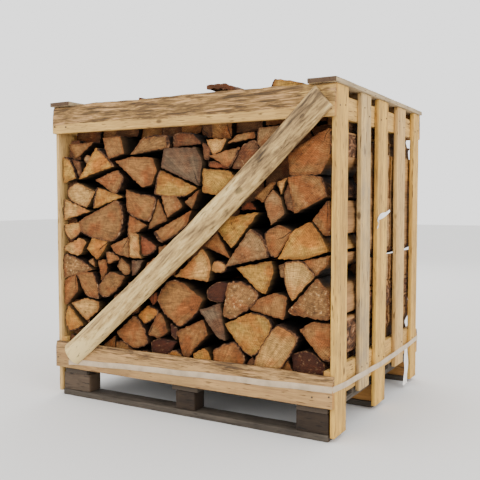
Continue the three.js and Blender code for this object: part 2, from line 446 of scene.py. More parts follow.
@dataclass(frozen=True)
class SawnPine(Finish):
    """Rough-sawn softwood: straw-coloured early wood between darker late-wood lines, with scattered knots.

    The lines lie 4 to 5 mm apart, wider than real growth rings, so that they show at a few paces.

    Attributes:
        grain: the axis that the grain runs along.
        pale: the early wood's colour.
        deep: the late wood's colour.
        stain: the colour of weathered patches.
        stained: how strongly these show, from 0 to 1.
        knot: the colour of knots and torn fibre.
        cut_end: the colour of sawn ends.
    """

    grain: Axis = Axis.Z
    pale: str = "E0B258"
    deep: str = "A27635"
    stain: str = "806740"
    stained: float = 0.45
    knot: str = "4C3622"
    cut_end: str = "A67431"

    def along(self, share: float) -> Vector:
        """Scales that draw a pattern out along the grain."""
        return Vector([share if a == self.grain.value else 1.0 for a in range(3)])

    def draw(self, tree: Tree, shader: Node) -> None:
        """Draws the grain, knots, stains and cut ends. See the base class for the arguments."""
        place = add_node(tree, "TexCoord")
        drawn_out = add_node(tree, "Mapping", {"Vector": place.outputs["Object"], "Scale": self.along(0.05)})
        oval = add_node(tree, "Mapping", {"Vector": place.outputs["Object"], "Scale": self.along(0.6)})
        knots = add_node(tree, "TexVoronoi", {"Vector": oval.outputs[0], "Scale": 8.5})
        near = add_node(tree, "MapRange", {0: knots.outputs["Distance"], 1: 0.04, 2: 0.3, 3: 0.006, 4: 0.0},
                        interpolation_type="SMOOTHSTEP")
        swerve = add_node(tree, "VectorMath", {0: drawn_out.outputs[0], 1: near.outputs[0]}, operation="ADD")
        lines = add_node(tree, "TexNoise", {"Vector": swerve.outputs[0], "Scale": 230.0, "Detail": 3.0,
                                            "Roughness": 0.6})
        bands = add_node(tree, "TexNoise", {"Vector": swerve.outputs[0], "Scale": 42.0, "Detail": 2.0})
        grain = add_node(tree, "Mix", {0: 0.45, 2: lines.outputs[0], 3: bands.outputs[0]})
        wood = add_node(tree, "ValToRGB", {0: grain.outputs[0]}, stops=[
            (0.38, linear(self.pale)), (0.66, linear(self.deep))])
        patches = add_node(tree, "TexNoise", {"Vector": oval.outputs[0], "Scale": 13.0, "Detail": 4.0,
                                              "Roughness": 0.65})
        dashes = add_node(tree, "TexNoise", {"Vector": self.dash_place(tree, place), "Scale": 200.0,
                                             "Detail": 1.0})
        facing = add_node(tree, "SeparateXYZ", {0: place.outputs["Normal"]})
        end = add_node(tree, "Math", {0: facing.outputs[self.grain.value]}, operation="ABSOLUTE")
        colour = wood.outputs[0]
        for over, pattern, start, full, cover in (
            (self.stain, patches.outputs[0], 0.42, 0.72, self.stained),
            (self.knot, dashes.outputs[0], 0.64, 0.7, 0.8),
            (self.knot, knots.outputs["Distance"], 0.085, 0.045, 0.8),
            (self.cut_end, end.outputs[0], 0.75, 0.9, 0.85),
        ):
            colour = lay_over(tree, colour, over, pattern, start, full, cover)
        fuzz = add_node(tree, "TexNoise", {"Vector": place.outputs["Object"], "Scale": 900.0, "Detail": 1.0})
        height = add_node(tree, "Mix", {0: 0.3, 2: grain.outputs[0], 3: fuzz.outputs[0]})
        colour = self.overlay(tree, place, colour)
        dress(tree, shader, colour, height.outputs[0], strength=0.55, depth=0.0016, roughness=0.78,
              specular=0.3)

    def dash_place(self, tree: Tree, place: Node) -> Socket:
        """Coordinates for the short dark dashes of torn fibre, ten times longer than wide."""
        return add_node(tree, "Mapping", {"Vector": place.outputs["Object"], "Scale": self.along(0.1),
                                          "Location": (3.1, 1.7, 5.3)}).outputs[0]

    def overlay(self, tree: Tree, place: Node, colour: Socket) -> Socket:
        """Leaves the wood as it is. A kind of board with something more on it draws it here."""
        return colour


@dataclass(frozen=True)
class WaneyPine(SawnPine):
    """A slab board whose upper edge is the tree's own surface, with brown and grey flakes of bark on it.

    Heights and places are in metres.

    Attributes:
        bark_from: the height where the first bark shows.
        bark_full: the height where it covers the most.
        cover: how much of the wood it covers there.
        bare_from: how far to the right of the middle it starts to thin out.
    """

    bark_from: float = 1.05
    bark_full: float = 1.078
    cover: float = 0.76
    bare_from: float = 0.43

    def overlay(self, tree: Tree, place: Node, colour: Socket) -> Socket:
        """Draws the bark that is left on the wane over the sawn wood.

        Args:
            tree: the material's node tree.
            place: the texture coordinate node.
            colour: the sawn wood's colour.

        Returns:
            The colour with the bark over it.
        """
        ragged = add_node(tree, "Mapping", {"Vector": place.outputs["Object"], "Scale": (0.13, 1.0, 1.5)})
        flakes = add_node(tree, "TexNoise", {"Vector": ragged.outputs[0], "Scale": 46.0, "Detail": 8.0,
                                             "Roughness": 0.74, "Distortion": 0.5})
        height = add_node(tree, "SeparateXYZ", {0: place.outputs["Object"]})
        level = add_node(tree, "MapRange", {0: height.outputs[2], 1: self.bark_from, 2: self.bark_full,
                                            3: -0.2, 4: self.cover - 0.5}, interpolation_type="SMOOTHSTEP")
        bare = add_node(tree, "MapRange", {0: height.outputs[0], 1: self.bare_from, 2: self.bare_from + 0.06,
                                           3: 0.0, 4: 0.25})
        left = add_node(tree, "Math", {0: level.outputs[0], 1: bare.outputs[0]}, operation="SUBTRACT")
        share = add_node(tree, "Math", {0: flakes.outputs[0], 1: left.outputs[0]}, operation="ADD")
        mask = add_node(tree, "MapRange", {0: share.outputs[0], 1: 0.44, 2: 0.56, 3: 0.0, 4: 0.92})
        layers = add_node(tree, "TexNoise", {"Vector": ragged.outputs[0], "Scale": 80.0, "Detail": 5.0,
                                             "Roughness": 0.65, "Distortion": 0.5})
        bark = add_node(tree, "ValToRGB", {0: layers.outputs[0]}, stops=[
            (0.36, linear("302217")), (0.46, linear("5E4328")), (0.53, linear("8A693B")),
            (0.6, linear("B48B5C"))])
        drawn_out = add_node(tree, "Mapping", {"Vector": place.outputs["Object"], "Scale": (0.08, 1.0, 1.5)})
        lines = add_node(tree, "TexNoise", {"Vector": drawn_out.outputs[0], "Scale": 150.0, "Detail": 3.0,
                                            "Distortion": 0.6})
        lined = lay_over(tree, bark.outputs[0], "2A1D12", lines.outputs[0], start=0.53, full=0.62,
                         cover=0.75)
        mixed = add_node(tree, "Mix", {0: mask.outputs[0], 6: colour, 7: lined}, data_type="RGBA")
        return mixed.outputs[2]


@dataclass(frozen=True)
class DebarkedPole(Finish):
    """A peeled half pole: cream sapwood, with grey-brown streaks of inner bark and dark branch knots.

    Attributes:
        tilt: its slant in degrees.
        foot: where its pale lower end lies along it, in metres from the middle of the crate's floor.
        head: where its greyer upper end lies.
        knots: for each knot, its places along and across the pole and its radius, in metres.
    """

    tilt: float = BRACE_TILT
    foot: float = -0.3
    head: float = 0.9
    knots: tuple[tuple[float, float, float], ...] = ()

    def draw(self, tree: Tree, shader: Node) -> None:
        """Draws streaks along the pole and its knots. See the base class for the arguments."""
        place = add_node(tree, "TexCoord")
        turned = add_node(tree, "Mapping", {"Vector": place.outputs["Object"],
                                            "Rotation": (0.0, math.radians(self.tilt), 0.0)})
        drawn_out = add_node(tree, "Mapping", {"Vector": turned.outputs[0], "Scale": (0.17, 1.0, 1.0)})
        streaks = add_node(tree, "TexNoise", {"Vector": drawn_out.outputs[0], "Scale": 75.0, "Detail": 7.0,
                                              "Roughness": 0.72, "Distortion": 0.6})
        broad = add_node(tree, "TexNoise", {"Vector": drawn_out.outputs[0], "Scale": 22.0, "Detail": 4.0,
                                            "Distortion": 0.8})
        both = add_node(tree, "Mix", {0: 0.5, 2: streaks.outputs[0], 3: broad.outputs[0]})
        way = add_node(tree, "SeparateXYZ", {0: turned.outputs[0]})
        # Greyer streaks towards the head, paler wood towards the foot; the paler foot is partly painted
        # light.
        up_pole = add_node(tree, "MapRange", {0: way.outputs[0], 1: self.foot, 2: self.head, 3: -0.09,
                                              4: 0.04})
        greyer = add_node(tree, "Math", {0: both.outputs[0], 1: up_pole.outputs[0]}, operation="ADD")
        wood = add_node(tree, "ValToRGB", {0: greyer.outputs[0]}, stops=[
            (0.39, linear("DABF84")), (0.485, linear("B7975F")), (0.56, linear("846945")),
            (0.63, linear("4A3A26"))])
        flecks = add_node(tree, "TexNoise", {"Vector": drawn_out.outputs[0], "Scale": 150.0, "Detail": 2.0})
        colour = lay_over(tree, wood.outputs[0], "33271B", flecks.outputs[0], start=0.62, full=0.7,
                          cover=0.6)
        for along, across, radius in self.knots:
            gap = add_node(tree, "VectorMath", {0: turned.outputs[0], 1: Vector((along, 0.0, across))},
                           operation="SUBTRACT")
            flat = add_node(tree, "VectorMath", {0: gap.outputs[0], 1: (0.55, 0.0, 1.0)},
                            operation="MULTIPLY")
            reach = add_node(tree, "VectorMath", {0: flat.outputs[0]}, operation="LENGTH")
            dark = add_node(tree, "MapRange", {0: reach.outputs["Value"], 1: radius * 0.4, 2: radius,
                                               3: 0.65, 4: 0.0}, interpolation_type="SMOOTHSTEP")
            mixed = add_node(tree, "Mix", {0: dark.outputs[0], 6: colour, 7: linear("2A1E15")},
                             data_type="RGBA")
            colour = mixed.outputs[2]
        dress(tree, shader, colour, both.outputs[0], strength=0.6, depth=0.003, roughness=0.7, specular=0.3)


@dataclass(frozen=True)
class BirchEndGrain(Finish):
    """The sawn end of a dried birch log: faint growth rings about the heart, a darker heart, drying cracks.

    Each log carries its own colour in the attribute tone. The attribute section holds its distance from the
    heart in X and Z, with a number of its own that shifts its pattern. The attribute torn says from 0 to 1
    how rough its end is. Rings are drawn 6 mm apart, about three times their real width, so that they show.

    Attributes:
        ring_gap: the distance between two rings, in metres.
    """

    ring_gap: float = 0.006

    def draw(self, tree: Tree, shader: Node) -> None:
        """Draws rings, heart, stains and cracks. See the base class for the arguments."""
        tone = add_node(tree, "Attribute", attribute_name="tone")
        section = add_node(tree, "Attribute", attribute_name="section")
        torn = add_node(tree, "Attribute", attribute_name="torn")
        where = section.outputs["Vector"]
        spread = add_node(tree, "VectorMath", {0: where, 1: (1.0, 1.0, 0.0)}, operation="MULTIPLY")
        reach = add_node(tree, "VectorMath", {0: spread.outputs[0]}, operation="LENGTH")
        wobble = add_node(tree, "TexNoise", {"Vector": where, "Scale": 22.0, "Detail": 2.0})
        bent = add_node(tree, "Math", {0: wobble.outputs[0], 1: 0.02, 2: reach.outputs["Value"]},
                        operation="MULTIPLY_ADD")
        phase = add_node(tree, "Math", {0: bent.outputs[0], 1: math.tau / self.ring_gap},
                         operation="MULTIPLY")
        ring = add_node(tree, "Math", {0: phase.outputs[0]}, operation="SINE")
        shade = add_node(tree, "MapRange", {0: ring.outputs[0], 1: -1.0, 2: 1.0, 3: 0.76, 4: 1.1})
        stain = add_node(tree, "TexNoise", {"Vector": where, "Scale": 38.0, "Detail": 6.0, "Roughness": 0.7})
        mottle = add_node(tree, "MapRange", {0: stain.outputs[0], 1: 0.34, 2: 0.66, 3: 1.3, 4: 0.62})
        blotch = add_node(tree, "TexNoise", {"Vector": where, "Scale": 12.0, "Detail": 3.0})
        saw = add_node(tree, "Mapping", {"Vector": where, "Scale": (0.1, 1.0, 1.0),
                                         "Rotation": (0.0, 0.0, 0.9)})
        scratch = add_node(tree, "TexNoise", {"Vector": saw.outputs[0], "Scale": 210.0, "Detail": 3.0})
        scored = add_node(tree, "MapRange", {0: scratch.outputs[0], 1: 0.3, 2: 0.7, 3: 0.8, 4: 1.2})
        fan = add_node(tree, "VectorMath", {0: spread.outputs[0]}, operation="NORMALIZE")
        fanned = add_node(tree, "VectorMath", {0: fan.outputs[0], 1: (9.0, 9.0, 0.0), 2: where},
                          operation="MULTIPLY_ADD")
        ray = add_node(tree, "TexNoise", {"Vector": fanned.outputs[0], "Scale": 2.6, "Detail": 3.0})
        rays = add_node(tree, "MapRange", {0: ray.outputs[0], 1: 0.32, 2: 0.68, 3: 0.76, 4: 1.22})
        # Painted shade: each end is darker at its rim and lighter in its middle.
        painted_rim_shade = add_node(tree, "MapRange", {0: tone.outputs["Alpha"], 1: 0.0, 2: 0.7, 3: 0.8, 4: 1.18})
        level = shade.outputs[0]
        for factor in (mottle, scored, rays, painted_rim_shade):
            level = add_node(tree, "Math", {0: level, 1: factor.outputs[0]}, operation="MULTIPLY").outputs[0]
        wood = add_node(tree, "VectorMath", {0: tone.outputs["Color"], "Scale": level}, operation="SCALE")
        wood = self.redden(tree, wood, tone, blotch, bent)
        colour = self.crumble(tree, wood.outputs[2], where, torn)
        crack = self.cracks(tree, section, reach)
        wood = add_node(tree, "Mix", {0: crack, 6: colour, 7: linear("24150C")}, data_type="RGBA")
        high = add_node(tree, "Math", {0: scratch.outputs[0], 1: crack}, operation="SUBTRACT")
        dress(tree, shader, wood.outputs[2], high.outputs[0], strength=0.9, depth=0.003, roughness=0.82,
              specular=0.25)

    def redden(self, tree: Tree, wood: Node, tone: Node,
               blotch: Node, bent: Node) -> Node:
        """Turns the wood red-brown about the heart, in blotches, and at the rim as painted shade.

        Args:
            tree: the material's node tree.
            wood: the node with the wood's colour.
            tone: the node that reads each log's tone.
            blotch: a broad noise.
            bent: the distance from the heart, made uneven.

        Returns:
            A colour mix whose third output is the new colour.
        """
        heart = add_node(tree, "MapRange", {0: bent.outputs[0], 1: 0.012, 2: 0.06, 3: 0.45, 4: 0.0},
                         interpolation_type="SMOOTHSTEP")
        patch = add_node(tree, "MapRange", {0: blotch.outputs[0], 1: 0.46, 2: 0.62, 3: 0.0, 4: 0.9})
        # Painted shade: the rim of each end is darkened and reddened.
        rim = add_node(tree, "MapRange", {0: tone.outputs["Alpha"], 1: 0.0, 2: 0.3, 3: 0.6, 4: 0.0},
                       interpolation_type="SMOOTHSTEP")
        most = add_node(tree, "Math", {0: heart.outputs[0], 1: patch.outputs[0]}, operation="MAXIMUM")
        most = add_node(tree, "Math", {0: most.outputs[0], 1: rim.outputs[0]}, operation="MAXIMUM")
        red = add_node(tree, "VectorMath", {0: wood.outputs[0], 1: (0.86, 0.56, 0.42)}, operation="MULTIPLY")
        return add_node(tree, "Mix", {0: most.outputs[0], 6: wood.outputs[0], 7: red.outputs[0]},
                        data_type="RGBA")

    def crumble(self, tree: Tree, wood: Socket, where: Socket, torn: Node) -> Socket:
        """Adds dark specks to every end, and pale crumbs and brown pits to the torn ones.

        Args:
            tree: the material's node tree.
            wood: the colour so far.
            where: the place in the log's section.
            torn: the node that reads how torn an end is.

        Returns:
            The new colour.
        """
        grit = add_node(tree, "TexNoise", {"Vector": where, "Scale": 85.0, "Detail": 4.0, "Roughness": 0.65})
        least = add_node(tree, "MapRange", {0: torn.outputs["Fac"], 1: 0.0, 2: 1.0, 3: 0.58, 4: 0.47})
        pitted = lay_over(tree, wood, "3A2012", grit.outputs[0], start=least.outputs[0], full=0.75,
                          cover=0.85)
        crumb = add_node(tree, "MapRange", {0: grit.outputs[0], 1: 0.42, 2: 0.3, 3: 0.0, 4: 0.7})
        shown = add_node(tree, "Math", {0: crumb.outputs[0], 1: torn.outputs["Fac"]}, operation="MULTIPLY")
        return add_node(tree, "Mix", {0: shown.outputs[0], 6: pitted, 7: linear("D9B07A")},
                        data_type="RGBA").outputs[2]

    def cracks(self, tree: Tree, section: Node, reach: Node) -> Socket:
        """Draws the few thin cracks that run out from the heart of some logs.

        Args:
            tree: the material's node tree.
            section: the node that reads each log's section attribute.
            reach: the node that gives the distance from the heart.

        Returns:
            How far the surface is cracked, from 0 to 1.
        """
        part = add_node(tree, "SeparateXYZ", {0: section.outputs["Vector"]})
        angle = add_node(tree, "Math", {0: part.outputs[1], 1: part.outputs[0]}, operation="ARCTAN2")
        shift = add_node(tree, "Math", {0: part.outputs[2], 1: 7.3, 2: angle.outputs[0]},
                         operation="MULTIPLY_ADD")
        wander = add_node(tree, "TexNoise", {"Vector": section.outputs["Vector"], "Scale": 35.0,
                                             "Detail": 2.0})
        bent = add_node(tree, "Math", {0: wander.outputs[0], 1: 0.5, 2: shift.outputs[0]},
                        operation="MULTIPLY_ADD")
        around = add_node(tree, "Math", {0: bent.outputs[0], 1: math.tau / 3.0}, operation="PINGPONG")
        width = add_node(tree, "Math", {0: around.outputs[0], 1: reach.outputs["Value"]},
                         operation="MULTIPLY")
        thin = add_node(tree, "MapRange", {0: width.outputs[0], 1: 0.0006, 2: 0.0016, 3: 0.9, 4: 0.0})
        length = add_node(tree, "MapRange", {0: reach.outputs["Value"], 1: 0.045, 2: 0.075, 3: 1.0, 4: 0.0})
        return add_node(tree, "Math", {0: thin.outputs[0], 1: length.outputs[0]},
                        operation="MULTIPLY").outputs[0]


@dataclass(frozen=True)
class SplitBirch(Finish):
    """The split side of a log: long torn fibres, straw to orange-brown, half aged, with painted shade.

    Attributes:
        aged: the colour that every split turns towards.
    """

    aged: str = "8F6C45"

    def draw(self, tree: Tree, shader: Node) -> None:
        """Draws fibres along the log. See the base class for the arguments."""
        tone = add_node(tree, "Attribute", attribute_name="tone")
        place = add_node(tree, "TexCoord")
        drawn_out = add_node(tree, "Mapping", {"Vector": place.outputs["Object"], "Scale": (1.0, 0.05, 1.0)})
        fibres = add_node(tree, "TexNoise", {"Vector": drawn_out.outputs[0], "Scale": 170.0, "Detail": 4.0,
                                             "Roughness": 0.65})
        bands = add_node(tree, "TexNoise", {"Vector": drawn_out.outputs[0], "Scale": 28.0, "Detail": 2.0})
        both = add_node(tree, "Mix", {0: 0.5, 2: fibres.outputs[0], 3: bands.outputs[0]})
        level = add_node(tree, "MapRange", {0: both.outputs[0], 1: 0.36, 2: 0.64, 3: 1.2, 4: 0.42})
        # Painted shade on log sides deep in the pile, painted light beside the slats and at the top.
        shown = PILE_SHADE.factor(tree, place)
        light = add_node(tree, "Math", {0: level.outputs[0], 1: shown}, operation="MULTIPLY")
        aged = add_node(tree, "Mix", {0: 0.5, 6: tone.outputs["Color"], 7: linear(self.aged)},
                        data_type="RGBA")
        wood = add_node(tree, "VectorMath", {0: aged.outputs[2], "Scale": light.outputs[0]},
                        operation="SCALE")
        dress(tree, shader, wood.outputs[0], both.outputs[0], strength=0.8, depth=0.004, roughness=0.8,
              specular=0.25)


@dataclass(frozen=True)
class BirchBark(Finish):
    """Old birch bark from the foot of the tree: dark ridged plates with pinkish and grey scales between."""

    def draw(self, tree: Tree, shader: Node) -> None:
        """Draws the ridges and scales. See the base class for the arguments."""
        place = add_node(tree, "TexCoord")
        drawn_out = add_node(tree, "Mapping", {"Vector": place.outputs["Object"], "Scale": (1.0, 0.45, 1.0)})
        ridges = add_node(tree, "TexNoise", {"Vector": drawn_out.outputs[0], "Scale": 55.0, "Detail": 6.0,
                                             "Roughness": 0.7, "Distortion": 0.8})
        scales = add_node(tree, "TexVoronoi", {"Vector": drawn_out.outputs[0], "Scale": 70.0})
        bark = add_node(tree, "ValToRGB", {0: ridges.outputs[0]}, stops=[
            (0.36, linear("22150C")), (0.48, linear("4C301C")), (0.58, linear("785236")),
            (0.68, linear("A37F5B"))])
        edge = add_node(tree, "MapRange", {0: scales.outputs["Distance"], 1: 0.2, 2: 0.6, 3: 1.1, 4: 0.7})
        # Painted shade on bark deep in the pile, painted light beside the slats and at the top.
        shown = PILE_SHADE.factor(tree, place)
        light = add_node(tree, "Math", {0: edge.outputs[0], 1: shown}, operation="MULTIPLY")
        colour = add_node(tree, "VectorMath", {0: bark.outputs[0], "Scale": light.outputs[0]},
                          operation="SCALE")
        dress(tree, shader, colour.outputs[0], ridges.outputs[0], strength=0.9, depth=0.006, roughness=0.88,
              specular=0.2)


@dataclass(frozen=True)
class MilkyFilm(Finish):
    """Polypropylene band and polyethylene stretch film: milky and softly glossy, with faint dirt.

    Attributes:
        colour: its clean colour.
        dirty: its colour where dust has settled.
    """

    colour: str = "BFA88A"
    dirty: str = "9A866A"

    def draw(self, tree: Tree, shader: Node) -> None:
        """Draws the band's faint dirt and ribs. See the base class for the arguments."""
        place = add_node(tree, "TexCoord")
        dirt = add_node(tree, "TexNoise", {"Vector": place.outputs["Object"], "Scale": 24.0, "Detail": 4.0})
        film = add_node(tree, "ValToRGB", {0: dirt.outputs[0]}, stops=[
            (0.4, linear(self.colour)), (0.8, linear(self.dirty))])
        creases = add_node(tree, "TexNoise", {"Vector": place.outputs["Object"], "Scale": 130.0,
                                              "Detail": 2.0})
        dress(tree, shader, film.outputs[0], creases.outputs[0], strength=0.15, depth=0.001, roughness=0.4)
        shader.inputs["IOR"].default_value = 1.49


@dataclass(frozen=True)
class NailSteel(Finish):
    """Bright wire nails gone dull and slightly rusty: grey steel with brown spots."""

    def draw(self, tree: Tree, shader: Node) -> None:
        """Draws the rust. See the base class for the arguments."""
        place = add_node(tree, "TexCoord")
        spots = add_node(tree, "TexNoise", {"Vector": place.outputs["Object"], "Scale": 300.0})
        steel = add_node(tree, "ValToRGB", {0: spots.outputs[0]}, stops=[
            (0.42, linear("5A5048")), (0.62, linear("3A2A1E"))])
        tree.links.new(steel.outputs[0], shader.inputs["Base Color"])
        shader.inputs["Metallic"].default_value = 0.6
        shader.inputs["Roughness"].default_value = 0.55


@dataclass(frozen=True)
class FloorPaint(Finish):
    """A plain pale studio floor."""

    def draw(self, tree: Tree, shader: Node) -> None:
        """Sets the floor's colour. See the base class for the arguments."""
        shader.inputs["Base Color"].default_value = linear("DCDBD9")
        shader.inputs["Roughness"].default_value = 0.9


# ---------------------------------------------------------------- boards and poles


@dataclass
class Board:
    """A rough-sawn timber that fills its solid's box, with eased, uneven edges. Sizes are in millimetres.

    Attributes:
        node: its solid.
        grain: the axis that its grain runs along.
        finish: how its faces look.
        slot: the name of a material slot.
        lean: how far its top leans to the front, in degrees.
        edge: the width of its eased edges.
        wear: how uneven its faces are.
        spacing: the spacing of the cuts along its grain.
    """

    node: str
    grain: Axis
    finish: Finish
    slot: str
    lean: float = 0.0
    edge: float = 2.5
    wear: float = 1.6
    spacing: float = 24.0

    def blank(self) -> Piece:
        """Saws the plain timber to its box and cuts it into stations along its grain."""
        low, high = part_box(self.node)
        size, centre = high - low, (low + high) / 2
        turn = math.radians(self.lean)
        if self.lean:
            drift = abs(math.sin(turn))
            size = Vector((size.x, size.y - size.z * drift, size.z - size.y * drift))
        deselect()
        bpy.ops.mesh.primitive_cube_add(size=1, location=centre, rotation=(turn, 0, 0), scale=size)
        piece = bpy.context.object
        bpy.ops.object.transform_apply(location=True, rotation=True, scale=True)
        with editing(piece):
            bpy.ops.mesh.bevel(offset=self.edge * MM, segments=2, affect="EDGES")
            for axis in Axis:
                long_way = axis == self.grain
                reach = (high - low)[axis.value]
                step = self.spacing * MM if long_way else max(reach / 3, 28 * MM)
                slice_across(axis, low[axis.value], high[axis.value], step)
        return piece

    def shape(self, piece: Piece) -> None:
        """Wears a blank's faces and edges."""
        roughen(piece, grain=70 * MM, depth=self.wear * MM, along=self.grain, stretch=3.0)
        roughen(piece, grain=11 * MM, depth=self.wear * 0.7 * MM)

    def build(self) -> Piece:
        """Models the board and hands it over."""
        piece = self.blank()
        self.shape(piece)
        self.finish.put_on(piece)
        return hand_over(piece, f"{self.node}_board", self.slot, [self.node])


@dataclass
class WaneyRail(Board):
    """A slab board of the front or back: sawn below, with the tree's rounded, ragged edge above.

    Attributes:
        outward: -1 where its outer face looks to the front, or 1 to the back.
        wane_from: how far above its foot the wane starts.
        wane_back: how far the wane curves back in all.
        wane_rows: in how many steps it does so.
        row_height: the spacing of the cuts up the board.
        ragged: how uneven its upper edge is.
        ragged_band: how far down that reaches.
    """

    outward: float = -1.0
    wane_from: float = 30.0
    wane_back: float = 9.0
    wane_rows: int = 6
    row_height: float = 9.0
    ragged: float = 12.0
    ragged_band: float = 22.0

    def shape(self, piece: Piece) -> None:
        """Rounds the outer face back to the wane and makes its upper edge ragged."""
        low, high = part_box(self.node)
        start = low.z + self.wane_from * MM
        with editing(piece):
            slice_across(Axis.Z, low.z, high.z, self.row_height * MM)
            for row in range(1, self.wane_rows + 1):
                level = start + (high.z - start) * row / self.wane_rows - 5 * MM
                pick(piece, lambda co, normal: co.z > level and normal.y * self.outward > 0.3)
                step = -self.outward * self.wane_back * MM * (2 * row - 1) / self.wane_rows ** 2
                bpy.ops.transform.translate(value=(0, step, 0))
        name_vertices(piece, "upper edge", lambda co: co.z > high.z - self.ragged_band * MM)
        edge = {"group": "upper edge", "along": Axis.X, "direction": "Z"}
        roughen(piece, grain=150 * MM, depth=self.ragged * MM, stretch=1.5, **edge)
        roughen(piece, grain=28 * MM, depth=self.ragged * 0.5 * MM, stretch=2.0, **edge)
        name_vertices(piece, "wane", lambda co: co.z > start)
        roughen(piece, grain=16 * MM, depth=3.2 * MM, group="wane", along=Axis.X, direction="Y", stretch=3.0)
        super().shape(piece)


@dataclass
class Brace:
    """A peeled pole split in half, nailed slanting over the rails with its flat side in, and bowed a little.

    Sizes are in millimetres.

    Attributes:
        node: its solid.
        finish: how it looks.
        outward: -1 where its round side looks to the front, or 1 to the back.
        length: its length along the slant.
        width: its width across the flat side.
        thickness: how far its round side stands out.
        bow: how far its ends rise above its middle.
        tilt: its slant, in degrees.
    """

    node: str
    finish: Finish
    outward: float = -1.0
    length: float = 1402.0
    width: float = 90.0
    thickness: float = 28.0
    bow: float = 15.0
    tilt: float = BRACE_TILT

    def build(self) -> Piece:
        """Models the pole along X, bows it and turns it into place."""
        low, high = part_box(self.node)
        deselect()
        bpy.ops.mesh.primitive_cylinder_add(vertices=28, radius=0.5, depth=self.length * MM,
                                            end_fill_type="NGON", rotation=(0, math.radians(90), 0))
        piece = bpy.context.object
        bpy.ops.object.transform_apply(rotation=True)
        bpy.ops.transform.resize(value=(1, 2 * self.thickness * MM, self.width * MM))
        bpy.ops.object.transform_apply(scale=True)
        reach = self.length / 2 * MM
        with editing(piece):
            bpy.ops.mesh.bisect(plane_co=(0, 0, 0), plane_no=(0, -self.outward, 0), use_fill=True,
                                clear_outer=True)
            bpy.ops.mesh.select_all(action="SELECT")
            bpy.ops.mesh.bevel(offset=2.5 * MM, segments=2, affect="EDGES")
            slice_across(Axis.X, -reach, reach, 16 * MM)
        for vertex in piece.data.vertices:
            vertex.co.z += self.bow * MM * (vertex.co.x / reach) ** 2
        roughen(piece, grain=95 * MM, depth=9 * MM, along=Axis.X, stretch=3.0, direction="Z")
        roughen(piece, grain=30 * MM, depth=3 * MM, along=Axis.X, stretch=4.0)
        roughen(piece, grain=9 * MM, depth=1.2 * MM, along=Axis.X, stretch=5.0)
        deselect()
        piece.select_set(True)
        piece.rotation_euler = (0, math.radians(self.tilt * self.outward), 0)
        bpy.ops.object.transform_apply(rotation=True)
        corners = [Vector(c) for c in piece.bound_box]
        middle = (min(c.x for c in corners) + max(c.x for c in corners)) / 2
        level = (min(c.z for c in corners) + max(c.z for c in corners)) / 2
        back = high.y if self.outward < 0 else low.y
        piece.location = ((low.x + high.x) / 2 - middle, back, (low.z + high.z) / 2 - level)
        self.finish.put_on(piece)
        return hand_over(piece, f"{self.node}_pole", "pale_pine", [self.node], smooth=50)


# ---------------------------------------------------------------- split logs


@dataclass(frozen=True)
class Split:
    """One split log, by the outline of its sawn end, in millimetres.

    Attributes:
        tone: the colour of the dried end.
        back: how far the end stands behind the front of its row.
        corners: the corners of the end as (x, z), going round.
    """

    tone: Tone
    back: float
    corners: Outline

    def heart(self) -> int:
        """The index of the sharpest corner, which lay nearest the middle of the round."""
        def sharpness(i: int) -> float:
            here = Vector(self.corners[i])
            before = Vector(self.corners[i - 1]) - here
            after = Vector(self.corners[(i + 1) % len(self.corners)]) - here
            return before.angle(after, 0.0)
        return min(range(len(self.corners)), key=sharpness)


BROWN, TAN, GOLD, PALE, GREY, PINK = Tone.BROWN, Tone.TAN, Tone.GOLD, Tone.PALE, Tone.GREY, Tone.PINK
ROUGH, ORANGE, CREAM, RED, BARK = Tone.ROUGH, Tone.ORANGE, Tone.CREAM, Tone.RED, Tone.BARK

# The plan of the front row, course by course, in millimetres to the nearest 5.
# Half of these take the brown tone as painted shade under the top rail; all stand back in its real shadow.
UNDER_TOP_RAIL = (
    Split(BROWN, 70, ((-550, 980), (-440, 995), (-430, 1060), (-500, 1095), (-550, 1085))),
    Split(TAN, 80, ((-425, 1005), (-370, 1015), (-340, 1060), (-370, 1090), (-420, 1085))),
    Split(BROWN, 70, ((-355, 1015), (-250, 1015), (-235, 1070), (-290, 1095), (-335, 1090))),
    Split(TAN, 85, ((-240, 1005), (-150, 1005), (-140, 1070), (-225, 1095))),
    Split(BROWN, 75, ((-140, 1005), (-55, 1005), (-50, 1080), (-90, 1095), (-130, 1090))),
    Split(TAN, 70, ((-45, 1010), (35, 1015), (45, 1070), (-20, 1095), (-40, 1090))),
    Split(BROWN, 55, ((50, 1010), (90, 990), (100, 1080), (60, 1095))),
    Split(ORANGE, 40, ((105, 990), (180, 985), (180, 1070), (140, 1095), (110, 1090))),
    Split(BROWN, 60, ((190, 1005), (285, 1010), (290, 1075), (240, 1095), (195, 1090))),
    Split(TAN, 60, ((305, 1025), (400, 1025), (410, 1080), (360, 1095), (320, 1090))),
    Split(BROWN, 70, ((415, 1020), (520, 1030), (510, 1080), (460, 1095), (420, 1090))),
    Split(TAN, 60, ((530, 1005), (545, 1005), (545, 1080), (525, 1090))),
)
